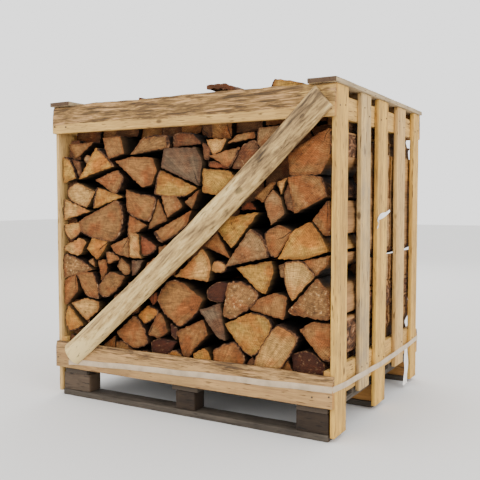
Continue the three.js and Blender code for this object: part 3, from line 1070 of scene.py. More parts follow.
ABOVE_BRACE = (
    Split(TAN, 25, ((-555, 990), (-430, 995), (-470, 965), (-520, 935))),
    Split(TAN, 0, ((-360, 1005), (-275, 1010), (-260, 945), (-335, 930))),
    Split(GOLD, 0, ((-395, 970), (-310, 900), (-480, 855))),
    Split(GOLD, 0, ((-565, 940), (-535, 935), (-495, 860), (-560, 840))),
    Split(BROWN, 12, ((-530, 930), (-485, 920), (-480, 875), (-490, 860))),
    Split(PALE, 30, ((-485, 930), (-470, 950), (-430, 930), (-460, 910))),
    Split(TAN, 0, ((-175, 995), (-60, 1000), (-55, 960), (-225, 940))),
    Split(BROWN, 10, ((-40, 1005), (40, 1005), (75, 970), (-40, 960))),
    Split(BROWN, 5, ((85, 970), (120, 950), (110, 910), (90, 915))),
    Split(GREY, -4, ((-70, 955), (60, 955), (85, 910), (75, 825), (-85, 890))),
    Split(TAN, 0, ((-295, 915), (-230, 930), (-130, 925), (-110, 880), (-135, 830), (-175, 820))),
    Split(TAN, 4, ((-400, 850), (-295, 885), (-265, 850), (-305, 795))),
    Split(CREAM, 2, ((-545, 810), (-495, 840), (-405, 805), (-445, 745), (-530, 775))),
    Split(GOLD, 0, ((-390, 820), (-270, 785), (-410, 740))),
    Split(CREAM, 2, ((-560, 775), (-430, 730), (-565, 695))),
    Split(TAN, -3, ((-480, 690), (-300, 770), (-270, 750), (-275, 655), (-315, 620), (-470, 650))),
    Split(CREAM, 3, ((-565, 675), (-485, 685), (-475, 655), (-525, 615), (-555, 635))),
    Split(GOLD, 3, ((-95, 880), (60, 815), (20, 790), (-120, 795))),
    Split(ORANGE, 0, ((-250, 810), (-180, 790), (-115, 780), (-145, 695), (-245, 730))),
    Split(TAN, 8, ((-110, 775), (-70, 700), (-155, 665), (-140, 700))),
    Split(ORANGE, 5, ((-240, 715), (-160, 680), (-245, 630))),
    Split(TAN, 2, ((-90, 785), (-30, 790), (0, 750), (-65, 710))),
    Split(TAN, 5, ((10, 765), (70, 810), (40, 740))),
    Split(ORANGE, 4, ((-125, 655), (35, 735), (20, 690), (-65, 630), (-95, 620))),
    Split(CREAM, 6, ((100, 980), (180, 980), (160, 940), (125, 930))),
    Split(TAN, 10, ((185, 965), (225, 995), (285, 1000), (290, 980))),
    Split(TAN, 0, ((115, 925), (235, 950), (195, 880))),
    Split(BROWN, 5, ((240, 950), (290, 970), (310, 930), (260, 875), (205, 880))),
    Split(RED, 14, ((100, 905), (150, 900), (185, 880), (110, 885))),
    Split(GOLD, 0, ((90, 880), (195, 870), (215, 850), (150, 790), (90, 800))),
    Split(PINK, 8, ((300, 955), (305, 1010), (390, 1015), (380, 950), (330, 940))),
)
RIGHT_OF_BRACE = (
    Split(ORANGE, 0, ((420, 920), (530, 985), (560, 995), (565, 915), (530, 855), (425, 855))),
    Split(ORANGE, 2, ((415, 845), (530, 845), (550, 785), (440, 730))),
    Split(CREAM, 4, ((375, 830), (410, 845), (390, 790))),
    Split(BROWN, 12, ((395, 785), (415, 825), (435, 735), (410, 740))),
    Split(ORANGE, 6, ((290, 780), (350, 830), (370, 830), (325, 765))),
    Split(PINK, 0, ((330, 765), (360, 805), (385, 785), (405, 730), (355, 690))),
    Split(RED, 18, ((230, 740), (265, 770), (290, 740))),
    Split(GOLD, 0, ((150, 670), (195, 715), (305, 730), (260, 675), (205, 610), (170, 645))),
    Split(ORANGE, 8, ((500, 705), (550, 770), (565, 740), (560, 665), (540, 660))),
    Split(ORANGE, 3, ((95, 610), (145, 660), (195, 575))),
    Split(PINK, 0, ((180, 545), (275, 675), (325, 645), (345, 585))),
    Split(ORANGE, 2, ((330, 660), (385, 690), (430, 670), (375, 585), (350, 590))),
    Split(GOLD, -3, ((385, 580), (435, 670), (495, 700), (535, 655), (555, 610), (485, 585))),
    Split(GOLD, 0, ((225, 540), (355, 570), (365, 535), (335, 460), (315, 465))),
    Split(PALE, 25, ((370, 555), (395, 565), (400, 520), (380, 515))),
    Split(CREAM, 0, ((405, 565), (465, 575), (510, 530), (435, 445), (415, 475))),
    Split(TAN, 3, ((470, 575), (560, 595), (560, 575), (515, 530))),
    Split(ROUGH, 0, ((170, 375), (190, 485), (230, 495), (305, 465), (300, 435), (200, 365))),
    Split(BARK, 10, ((100, 460), (155, 490), (185, 485), (165, 420), (105, 425))),
    Split(TAN, 3, ((275, 405), (305, 440), (370, 465), (410, 455), (400, 380), (315, 395))),
    Split(ROUGH, 0, ((420, 410), (520, 520), (560, 480), (565, 400), (555, 390), (430, 400))),
    Split(GOLD, -2, ((180, 345), (275, 390), (345, 380), (360, 355), (320, 280), (285, 245), (230, 285))),
    Split(CREAM, -4, ((290, 210), (380, 360), (455, 325), (370, 195), (300, 160))),
    Split(ORANGE, 3, ((460, 350), (505, 380), (565, 375), (565, 260), (540, 260))),
    Split(BARK, 12, ((430, 265), (485, 280), (530, 255), (545, 240), (545, 155), (440, 150))),
    Split(ORANGE, 10, ((375, 200), (410, 245), (430, 205), (425, 150), (380, 145))),
    Split(BROWN, 8, ((240, 190), (280, 240), (290, 220), (290, 150), (250, 140))),
    Split(ORANGE, 0, ((130, 245), (215, 285), (255, 235), (230, 160), (140, 140))),
    Split(GREY, -2, ((75, 385), (160, 415), (165, 365), (180, 290), (145, 300), (95, 360))),
)
BELOW_BRACE = (
    Split(CREAM, 0, ((-30, 500), (85, 600), (110, 575), (120, 545), (110, 490))),
    Split(CREAM, 8, ((125, 555), (160, 560), (180, 540), (160, 520), (120, 525))),
    Split(ORANGE, -3, ((-105, 415), (-55, 480), (-5, 480), (85, 425), (70, 390), (-10, 320), (-40, 340),
                       (-85, 375))),
    Split(RED, 8, ((-155, 410), (-120, 435), (-110, 415), (-135, 385))),
    Split(GOLD, 2, ((-200, 345), (-155, 385), (-110, 370), (-115, 350), (-170, 315))),
    Split(TAN, 0, ((-105, 360), (-85, 350), (-65, 295), (-100, 270), (-150, 275), (-145, 300))),
    Split(TAN, -2, ((-300, 270), (-215, 340), (-175, 305), (-155, 245), (-210, 220), (-270, 245))),
    Split(BARK, 10, ((-60, 325), (-30, 315), (-30, 270), (-55, 280))),
    Split(BARK, 14, ((-150, 245), (-105, 265), (-35, 260), (-65, 220), (-95, 195), (-140, 205))),
    Split(ORANGE, 2, ((-25, 300), (85, 350), (105, 300), (75, 270), (50, 245), (25, 210), (0, 220))),
    Split(GOLD, 4, ((-70, 210), (-35, 230), (10, 200), (-5, 145), (-75, 150))),
    Split(GOLD, 3, ((45, 225), (90, 250), (110, 235), (120, 205), (120, 140), (55, 145))),
)
LEFT_OF_BRACE = (
    Split(CREAM, 0, ((-565, 590), (-480, 625), (-450, 610), (-475, 565), (-495, 555), (-560, 575))),
    Split(GOLD, 0, ((-415, 630), (-340, 615), (-360, 580), (-395, 545), (-445, 585))),
    Split(TAN, 3, ((-330, 600), (-245, 635), (-240, 560), (-305, 570))),
    Split(CREAM, 0, ((-235, 650), (-195, 645), (-190, 575), (-180, 560), (-235, 560))),
    Split(RED, 10, ((-190, 640), (-130, 610), (-120, 595), (-155, 570), (-185, 570))),
    Split(ORANGE, 6, ((-355, 575), (-305, 565), (-290, 550), (-345, 530))),
    Split(TAN, 4, ((-280, 555), (-240, 525), (-240, 500), (-260, 490), (-300, 520))),
    Split(GREY, 8, ((-235, 545), (-180, 550), (-205, 505), (-230, 490))),
    Split(ROUGH, 0, ((-565, 560), (-450, 525), (-420, 505), (-565, 465))),
    Split(TAN, 6, ((-445, 535), (-420, 550), (-410, 515))),
    Split(ORANGE, 12, ((-400, 540), (-360, 545), (-355, 500), (-385, 465))),
    Split(ORANGE, 0, ((-565, 455), (-505, 480), (-495, 420), (-550, 360), (-565, 360))),
    Split(ORANGE, 0, ((-500, 485), (-425, 495), (-400, 465), (-390, 395), (-455, 405))),
    Split(ORANGE, 3, ((-390, 440), (-335, 500), (-265, 485), (-285, 450), (-360, 400), (-385, 410))),
    Split(GOLD, 0, ((-565, 305), (-545, 360), (-470, 285), (-560, 255))),
    Split(CREAM, 2, ((-530, 365), (-455, 390), (-390, 380), (-395, 345), (-455, 305))),
)
BEHIND_BRACE = (
    Split(TAN, 15, ((-450, 205), (-400, 240), (-400, 330), (-450, 290), (-480, 250))),
    Split(TAN, 15, ((-390, 245), (-330, 285), (-330, 370), (-385, 340))),
    Split(BROWN, 15, ((-320, 290), (-260, 330), (-260, 440), (-325, 405))),
    Split(TAN, 15, ((-255, 340), (-205, 360), (-200, 480), (-255, 460))),
    Split(ORANGE, 15, ((-190, 400), (-160, 420), (-115, 470), (-130, 560), (-170, 535), (-190, 490))),
    Split(TAN, 15, ((-105, 490), (-40, 505), (-45, 575), (-65, 610), (-115, 600))),
    # These six stand 80 mm back, and their brown tone paints the shadow that the brace casts beside it.
    Split(BROWN, 80, ((-25, 520), (80, 605), (70, 655), (25, 680), (-50, 620))),
    Split(BROWN, 80, ((90, 640), (140, 680), (190, 730), (170, 780), (85, 780), (50, 735), (30, 690))),
    Split(BROWN, 80, ((205, 735), (225, 750), (260, 775), (285, 790), (280, 860), (225, 850), (180, 790))),
    Split(BROWN, 80, ((295, 795), (345, 840), (370, 840), (410, 855), (415, 910), (330, 930), (300, 880))),
    Split(BROWN, 80, ((385, 940), (420, 925), (470, 960), (450, 1010), (400, 1010))),
    Split(BROWN, 80, ((480, 965), (525, 990), (520, 1020), (460, 1010))),
)
BOTTOM_COURSE = (
    Split(BROWN, 10, ((-545, 240), (-490, 225), (-470, 150), (-545, 140))),
    Split(TAN, 10, ((-460, 190), (-400, 195), (-395, 140), (-460, 135))),
    Split(ORANGE, 6, ((-390, 200), (-315, 255), (-320, 150), (-380, 140))),
    Split(ORANGE, 6, ((-310, 230), (-280, 240), (-225, 205), (-240, 150), (-305, 140))),
    Split(TAN, 10, ((-220, 205), (-160, 210), (-150, 150), (-220, 140))),
    Split(BROWN, 10, ((-140, 190), (-95, 190), (-80, 145), (-140, 140))),
    Split(TAN, 10, ((15, 200), (40, 210), (50, 145), (5, 140))),
)
# Thin splits pushed in behind the others, beside the left slats, in the brown tone as painted shade.
KINDLING = (
    Split(BROWN, 30, ((-565, 925), (-500, 930), (-505, 1005), (-565, 1005))),
    Split(BROWN, 30, ((-565, 770), (-515, 780), (-520, 850), (-565, 850))),
    Split(BROWN, 30, ((-565, 590), (-510, 600), (-530, 705), (-565, 705))),
    Split(BROWN, 30, ((-565, 235), (-470, 240), (-465, 290), (-500, 375), (-565, 380))),
)
COURSES = {
    "under_top_rail": UNDER_TOP_RAIL,
    "above_brace": ABOVE_BRACE,
    "right_of_brace": RIGHT_OF_BRACE,
    "below_brace": BELOW_BRACE,
    "left_of_brace": LEFT_OF_BRACE,
    "behind_brace": BEHIND_BRACE,
    "bottom_course": BOTTOM_COURSE,
    "kindling": KINDLING,
}


@dataclass
class LogCutter:
    """Models single logs: a roughened sawn end, split faces with torn fibres, and bark outside.

    Sizes are in millimetres.

    Attributes:
        draw: the source of chance.
        step: the spacing of the points round an end.
        stations: the spacing of the cuts along a log.
        ragged: how far a point strays in or out.
        end_rings: how many rings an end is divided into.
        bark: how wide a band of bark shows at the rim of an end.
        barked_share: the share of logs that kept the bark of their round.
        barked_outwards: the share of logs beside the slats with their bark turned out.
        slats_from: where, from the middle to the left or right, a log counts as beside the slats.
        bulge: how far a barked side bulges, as a share of its width.
        pith_beyond: how far beyond the sharpest corner the pith may have lain.
        proud: how far a roughened end stands proud of its rim.
        light: how much darker or lighter than its tone a log may be.
        warm: how much cooler or warmer it may be.
        slightly_torn: how torn an ordinary end is.
        very_torn: how torn a rough one is.
    """

    draw: random.Random
    step: float = 8.0
    stations: float = 60.0
    ragged: float = 2.0
    end_rings: int = 5
    bark: float = 3.0
    barked_share: float = 0.5
    barked_outwards: float = 0.4
    slats_from: float = 538.0
    bulge: float = 0.06
    pith_beyond: float = 12.0
    proud: float = 1.4
    light: tuple[float, float] = (0.88, 1.14)
    warm: tuple[float, float] = (0.96, 1.04)
    slightly_torn: tuple[float, float] = (0.0, 0.35)
    very_torn: float = 0.85

    def outline(self, log: Split) -> list[tuple[float, float, bool]]:
        """Walks round a log's end with small uneven steps, and bulges the barked sides.

        Args:
            log: the log to draw.

        Returns:
            The points as x and z in metres, and whether each lies on bark.
        """
        corners = log.corners
        area = sum(a[0] * b[1] - b[0] * a[1] for a, b in zip(corners, corners[1:] + corners[:1]))
        if area < 0:
            corners = corners[::-1]
        count = len(corners)
        heart = Split(log.tone, 0, corners).heart()
        barked = log.tone == Tone.BARK or self.draw.random() < self.barked_share
        bark_outwards = self.draw.random() < self.barked_outwards
        points = []
        for i in range(count):
            start, end = Vector(corners[i]), Vector(corners[(i + 1) % count])
            beside_slats = min(abs(start.x), abs(end.x)) > self.slats_from
            rounded = barked and i != heart and (i + 1) % count != heart
            outside = rounded or beside_slats and bark_outwards
            along = end - start
            across = Vector((along.y, -along.x)).normalized()
            bulge = self.bulge * along.length if outside else 0.0
            steps = max(round(along.length / self.step), 2)
            for k in range(steps):
                share = k / steps
                sway = self.draw.uniform(-self.ragged, self.ragged) if k else -self.ragged
                out = 4 * bulge * share * (1 - share) + sway
                point = start + along * share + across * out
                points.append((point.x * MM, point.y * MM, outside))
        return points

    def cut(self, log: Split, front: float, length: float, facing: float = -1.0) -> Piece:
        """Models one log.

        Args:
            log: its plan.
            front: where the sawn end that shows stands in Y, in metres.
            length: its length in metres.
            facing: -1 where the end that shows looks to the front, or 1 to the back.

        Returns:
            The log, with the finishes of its end, split and bark faces in material slots 0, 1 and 2.
        """
        points = self.outline(log)
        deselect()
        bpy.ops.mesh.primitive_circle_add(vertices=len(points), fill_type="NGON", location=(0, 0, 0))
        piece = bpy.context.object
        mesh = piece.data
        for vertex, (x, z, _) in zip(mesh.vertices, points):
            vertex.co = (x, front, z)
        bark = mesh.attributes.new("barked", "FLOAT", "POINT")
        bark.data.foreach_set("value", [float(flag) for _, _, flag in points])
        middle = Vector((sum(p[0] for p in points), 0, sum(p[1] for p in points))) / len(points)
        middle.y = front
        reach = min(math.hypot(x - middle.x, z - middle.z) for x, z, _ in points)
        with editing(piece):
            bpy.ops.mesh.extrude_region_move(TRANSFORM_OT_translate={"value": (0, -facing * length, 0)})
            low, high = sorted((front, front - facing * length))
            slice_across(Axis.Y, low, high, self.stations * MM)
            bpy.ops.mesh.select_all(action="SELECT")
            bpy.ops.mesh.normals_make_consistent(inside=False)
            pick(piece, lambda co, normal: abs(co.y - front) < 1e-5 and normal.y * facing > 0.9, faces=True)
            kept = 1.0
            for ring in range(self.end_rings):
                share = 1 - self.bark * MM / reach if ring == 0 else 1 - ring / (self.end_rings - 0.1)
                lift = facing * self.proud * MM if ring == 0 else 0.0
                bpy.ops.mesh.extrude_region_move(TRANSFORM_OT_translate={"value": (0, lift, 0)})
                bpy.ops.transform.resize(value=(share / kept, 1, share / kept),
                                         center_override=(middle.x, front, middle.z))
                kept = share
            if self.end_rings:
                bpy.ops.mesh.poke()
        for finish in (BIRCH_END, SPLIT_FACE, OLD_BARK):
            finish.put_on(piece)
        self.sort_faces(piece, len(points))
        self.mark(piece, log, len(points), front, facing)
        return piece

    def sort_faces(self, piece: Piece, around: int) -> None:
        """Puts the end grain in material slot 0, split wood in 1 and bark in 2.

        Bark shows on the barked sides and, as a thin band, along the rim of the end beside them.

        Args:
            piece: the log.
            around: how many points its outline has.
        """
        barked = piece.data.attributes["barked"].data
        inner = len(piece.data.vertices) - 1 - around * self.end_rings
        for face in piece.data.polygons:
            on_bark = all(barked[v].value > 0.99 for v in face.vertices)
            on_end = abs(face.normal.y) > 0.5
            on_rim = min(face.vertices) < inner and len(face.vertices) == 4
            if on_end and not (on_bark and on_rim):
                face.material_index = 0
            else:
                face.material_index = 2 if on_bark else 1

    def mark(self, piece: Piece, log: Split, around: int, front: float, facing: float) -> None:
        """Gives a log its own colour and its distances from the heart, and names its end.

        The colour's alpha is how far in from the rim a point of the sawn end lies, from 0 to 1.

        Args:
            piece: the log.
            log: its plan.
            around: how many points its outline has.
            front: where its sawn end stands, in metres.
            facing: which way that end looks.
        """
        mesh = piece.data
        heart = Vector(log.corners[log.heart()])
        middle = sum((Vector(c) for c in log.corners), Vector((0, 0))) / len(log.corners)
        pith = (heart + (heart - middle).normalized() * self.pith_beyond * self.draw.random()) * MM
        pattern_shift = self.draw.uniform(0, 30)
        mesh.attributes.new("section", "FLOAT_VECTOR", "POINT")
        mesh.attributes.new("tone", "FLOAT_COLOR", "POINT")
        mesh.attributes.new("torn", "FLOAT", "POINT")
        section, tone, torn = (mesh.attributes[name] for name in ("section", "tone", "torn"))
        torn_share = self.very_torn if log.tone == ROUGH else self.draw.uniform(*self.slightly_torn)
        red, green, blue, _ = linear(log.tone.value)
        light = self.draw.uniform(*self.light)
        warm = self.draw.uniform(*self.warm)
        colour = (red * light * warm, green * light, blue * light / warm)
        count = len(mesh.vertices)
        for i, vertex in enumerate(mesh.vertices):
            section.data[i].vector = (vertex.co.x - pith.x, vertex.co.z - pith.y, pattern_shift)
            rings_in = max(self.end_rings - 1 - (count - 2 - i) // around, 0) if self.end_rings else 0
            tone.data[i].color = (*colour, rings_in / max(self.end_rings - 1, 1))
            torn.data[i].value = torn_share
        name_vertices(piece, "end", lambda co: (co.y - front) * facing > -1e-4)


@dataclass
class Woodpile:
    """Three rows of split birch logs, one behind the other, that fill the crate. Sizes are in millimetres.

    Attributes:
        seed: the seed of the rows' chance.
        swell: how many times bigger than planned the logs of the hidden rows are.
        front_swell: the same for the front row.
        recess: how far a hidden log may stay back from the slats.
        room_beside_rails: how far from the middle a log may reach where a side rail runs.
        room_beside_slats: how far it may reach between the rails.
        between_rails: the heights between which there are no rails.
        above_pallet: how far above the rows' foot the lowest corners stay.
        front_short: how far short of its solid's back a log of the front row may end.
        hidden_short: the same for a hidden log, at the far end from its better one.
        hidden_back: how far its better end may stand back, beyond half of what the plan says.
    """

    seed: int = 41
    swell: float = 1.07
    front_swell: float = 1.035
    recess: float = 5.0
    room_beside_rails: float = 545.0
    room_beside_slats: float = 565.0
    between_rails: tuple[float, float] = (256.0, 1004.0)
    above_pallet: float = 2.0
    front_short: tuple[float, float] = (1.0, 10.0)
    hidden_short: tuple[float, float] = (1.0, 8.0)
    hidden_back: tuple[float, float] = (0.0, 9.0)

    def finish(self, piece: Piece, name: str, node: str) -> Piece:
        """Roughens joined logs and hands them over.

        Args:
            piece: the joined logs.
            name: the piece's name.
            node: the solid that they stand for.

        Returns:
            The piece.
        """
        roughen(piece, grain=13 * MM, depth=3.0 * MM, along=Axis.Y, stretch=7.0)
        roughen(piece, grain=30 * MM, depth=3.0 * MM, group="end", direction="Y")
        roughen(piece, grain=9 * MM, depth=2.6 * MM, group="end", direction="Y")
        return hand_over(piece, name, "split_birch", [node], smooth=40)

    def front_row(self) -> None:
        """Lays the front row, whose ends face the front, by the plan."""
        draw = random.Random(self.seed)
        cutter = LogCutter(draw)
        low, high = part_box("log_row_front")
        for course, logs in COURSES.items():
            pieces = []
            for log in logs:
                front = low.y + log.back * MM
                fuller = Split(log.tone, log.back, self.swollen(log.corners, self.front_swell, 0.0))
                length = high.y - front - draw.uniform(*self.front_short) * MM
                pieces.append(cutter.cut(fuller, front, length))
            self.finish(join(pieces), f"front_logs_{course}", "log_row_front")

    def swollen(self, corners: Sequence[tuple[float, float]], swell: float,
                recess: float) -> Outline:
        """Grows an outline about its middle, within the room in the crate.

        Args:
            corners: the outline in millimetres.
            swell: how many times bigger it becomes.
            recess: how far it stays back from the slats.

        Returns:
            The bigger outline.
        """
        low, high = (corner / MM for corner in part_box("log_row_front"))
        rail_below, rail_above = self.between_rails
        middle = sum((Vector(c) for c in corners), Vector((0, 0))) / len(corners)
        grown = []
        for corner in corners:
            x, z = middle + (Vector(corner) - middle) * swell
            free = rail_below < z < rail_above
            room = self.room_beside_slats - recess if free else self.room_beside_rails
            grown.append((min(max(x, -room), room), min(max(z, low.z + self.above_pallet), high.z)))
        return tuple(grown)

    def hidden_row(self, node: str, facing: float, cutter: LogCutter) -> None:
        """Lays a row behind the front one: the same stack, turned over from left to right.

        Args:
            node: the solid that it stands for.
            facing: which way its better ends look, -1 for the front.
            cutter: how finely its logs are modelled.
        """
        low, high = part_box(node)
        front_low, front_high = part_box("log_row_front")
        stretch = (high.z - low.z) / (front_high.z - front_low.z)
        floor = low.z / MM
        tones = [tone for tone in Tone if tone not in (GREY, BARK, RED, BROWN)]
        row = node.removeprefix("log_row_")
        for course, logs in COURSES.items():
            pieces = []
            for log in logs:
                turned = [(-x, floor + (z - floor) * stretch) for x, z in log.corners]
                corners = self.swollen(turned, self.swell, cutter.draw.uniform(0, self.recess))
                other = Split(cutter.draw.choice(tones), 0, corners)
                back = (max(log.back, 0) / 2 + cutter.draw.uniform(*self.hidden_back)) * MM
                front = low.y + back if facing < 0 else high.y - back
                length = (high.y - low.y) - back - cutter.draw.uniform(*self.hidden_short) * MM
                pieces.append(cutter.cut(other, front, length, facing))
            self.finish(join(pieces), f"{row}_logs_{course}", node)

    def build(self) -> None:
        """Lays all three rows."""
        self.front_row()
        cleaner = {"barked_share": 0.3, "barked_outwards": 0.2}
        plain = LogCutter(random.Random(self.seed + 1), step=18, stations=100, end_rings=0, **cleaner)
        self.hidden_row("log_row_middle", -1.0, plain)
        seen = LogCutter(random.Random(self.seed + 2), step=13, stations=75, end_rings=2, **cleaner)
        self.hidden_row("log_row_back", 1.0, seen)


@dataclass
class LooseLogs:
    """The split rounds and the slab of bark that lie on top of the rows. Sizes are in millimetres.

    Attributes:
        seed: the seed of their chance.
        arc_step: the angle between the corners of a round, in degrees.
        set_back: how far inside its solid a log's best end stands.
        shorter: how much shorter than its solid a log is.
        slab_radii: the outer and inner radius of the bark slab.
        slab_sweep: how far it reaches round the trunk, in degrees.
        slab_turn: how far it is tipped over, in degrees.
        rounds: the logs.
    """

    seed: int = 7
    arc_step: float = 12.0
    set_back: float = 2.0
    shorter: float = 6.0
    slab_radii: tuple[float, float] = (150.0, 135.0)
    slab_sweep: float = 68.0
    slab_turn: float = 20.0
    # For each log: the angle split from the round, its turn, its tone, and which way its best end looks.
    rounds: dict[str, tuple[float, float, Tone, float]] = field(default_factory=lambda: {
        "top_log_front_right": (84, 150, Tone.GOLD, -1.0),
        "top_log_front_left": (90, 45, Tone.BROWN, -1.0),
        "top_log_middle_left": (120, 30, Tone.TAN, -1.0),
        "top_log_middle_right": (180, 4, Tone.GOLD, -1.0),
        "top_log_back_left": (180, -4, Tone.TAN, 1.0),
        "top_log_back_right": (90, 45, Tone.ORANGE, 1.0),
    })

    def arc(self, radius: float, sweep: float, turn: float) -> list[tuple[float, float]]:
        """Points of an arc about the origin, upright in its middle and then turned, in degrees."""
        steps = round(sweep / self.arc_step)
        angles = [math.radians(90 - turn - sweep / 2 + sweep * i / steps) for i in range(steps + 1)]
        return [(radius * math.cos(a), radius * math.sin(a)) for a in angles]

    def fitted(self, node: str, points: list[tuple[float, float]]) -> Outline:
        """Scales an outline to fill its solid's box, in millimetres.

        Args:
            node: the solid.
            points: the outline at any size.

        Returns:
            The fitted corners.
        """
        low, high = (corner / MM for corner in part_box(node))
        xs, zs = [p[0] for p in points], [p[1] for p in points]
        across = (high.x - low.x) / (max(xs) - min(xs))
        up = (high.z - low.z) / (max(zs) - min(zs))
        return tuple((low.x + (x - min(xs)) * across, low.z + (z - min(zs)) * up) for x, z in points)

    def build(self) -> None:
        """Models the loose logs and the slab."""
        draw = random.Random(self.seed)
        cutter = LogCutter(draw, step=12, stations=40, ragged=1.0, barked_share=1.0)
        for node, (sweep, turn, tone, facing) in self.rounds.items():
            heart = [(0.0, 0.0)] if sweep < 180 else []
            outline = self.fitted(node, heart + self.arc(1.0, sweep, turn))
            low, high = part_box(node)
            front = low.y + self.set_back * MM if facing < 0 else high.y - self.set_back * MM
            length = high.y - low.y - self.shorter * MM
            piece = cutter.cut(Split(tone, 0, outline), front, length, facing)
            roughen(piece, grain=16 * MM, depth=3.5 * MM, along=Axis.Y, stretch=5.0)
            roughen(piece, grain=20 * MM, depth=2.5 * MM, group="end", direction="Y")
            hand_over(piece, f"{node}_split", "split_birch", [node], smooth=40)
        self.slab(draw)

    def slab(self, draw: random.Random) -> None:
        """Models the slab of bark, curved like the trunk that it came off."""
        node = "top_bark_slab"
        outer, inner = (self.arc(radius, self.slab_sweep, self.slab_turn) for radius in self.slab_radii)
        outline = self.fitted(node, outer + inner[::-1])
        low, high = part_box(node)
        cutter = LogCutter(draw, step=9, stations=25, ragged=1.5, end_rings=0, barked_share=1.0)
        set_back, shorter = 3 * MM, 8 * MM
        piece = cutter.cut(Split(Tone.BROWN, 0, outline), low.y + set_back, high.y - low.y - shorter)
        roughen(piece, grain=30 * MM, depth=9 * MM, along=Axis.Y, stretch=1.5, direction="Z")
        roughen(piece, grain=10 * MM, depth=3 * MM)
        hand_over(piece, "bark_slab", "birch_bark", [node], smooth=40)


# ---------------------------------------------------------------- strap and film


@dataclass
class Ribbon:
    """A thin flat strip that follows a route, in stations along it and strands across it.

    The route gives each point in metres by its share of the length and from -1 to 1 of the width. The
    thickness is in millimetres.
    """

    name: str
    node: str
    finish: Finish
    route: Callable[[float, float], Vector]
    thickness: float
    stations: int
    strands: int

    def build(self) -> Piece:
        """Lays a grid along the route, gives it its thickness and hands it over."""
        deselect()
        bpy.ops.mesh.primitive_grid_add(x_subdivisions=self.stations, y_subdivisions=self.strands, size=1,
                                        location=(0, 0, 0))
        piece = bpy.context.object
        for vertex in piece.data.vertices:
            vertex.co = self.route(vertex.co.x + 0.5, vertex.co.y * 2)
        use_modifier(piece, "SOLIDIFY", thickness=self.thickness * MM, offset=0.0)
        with editing(piece):
            bpy.ops.mesh.normals_make_consistent(inside=False)
        self.finish.put_on(piece)
        return hand_over(piece, self.name, "strap_plastic", [self.node], smooth=60)


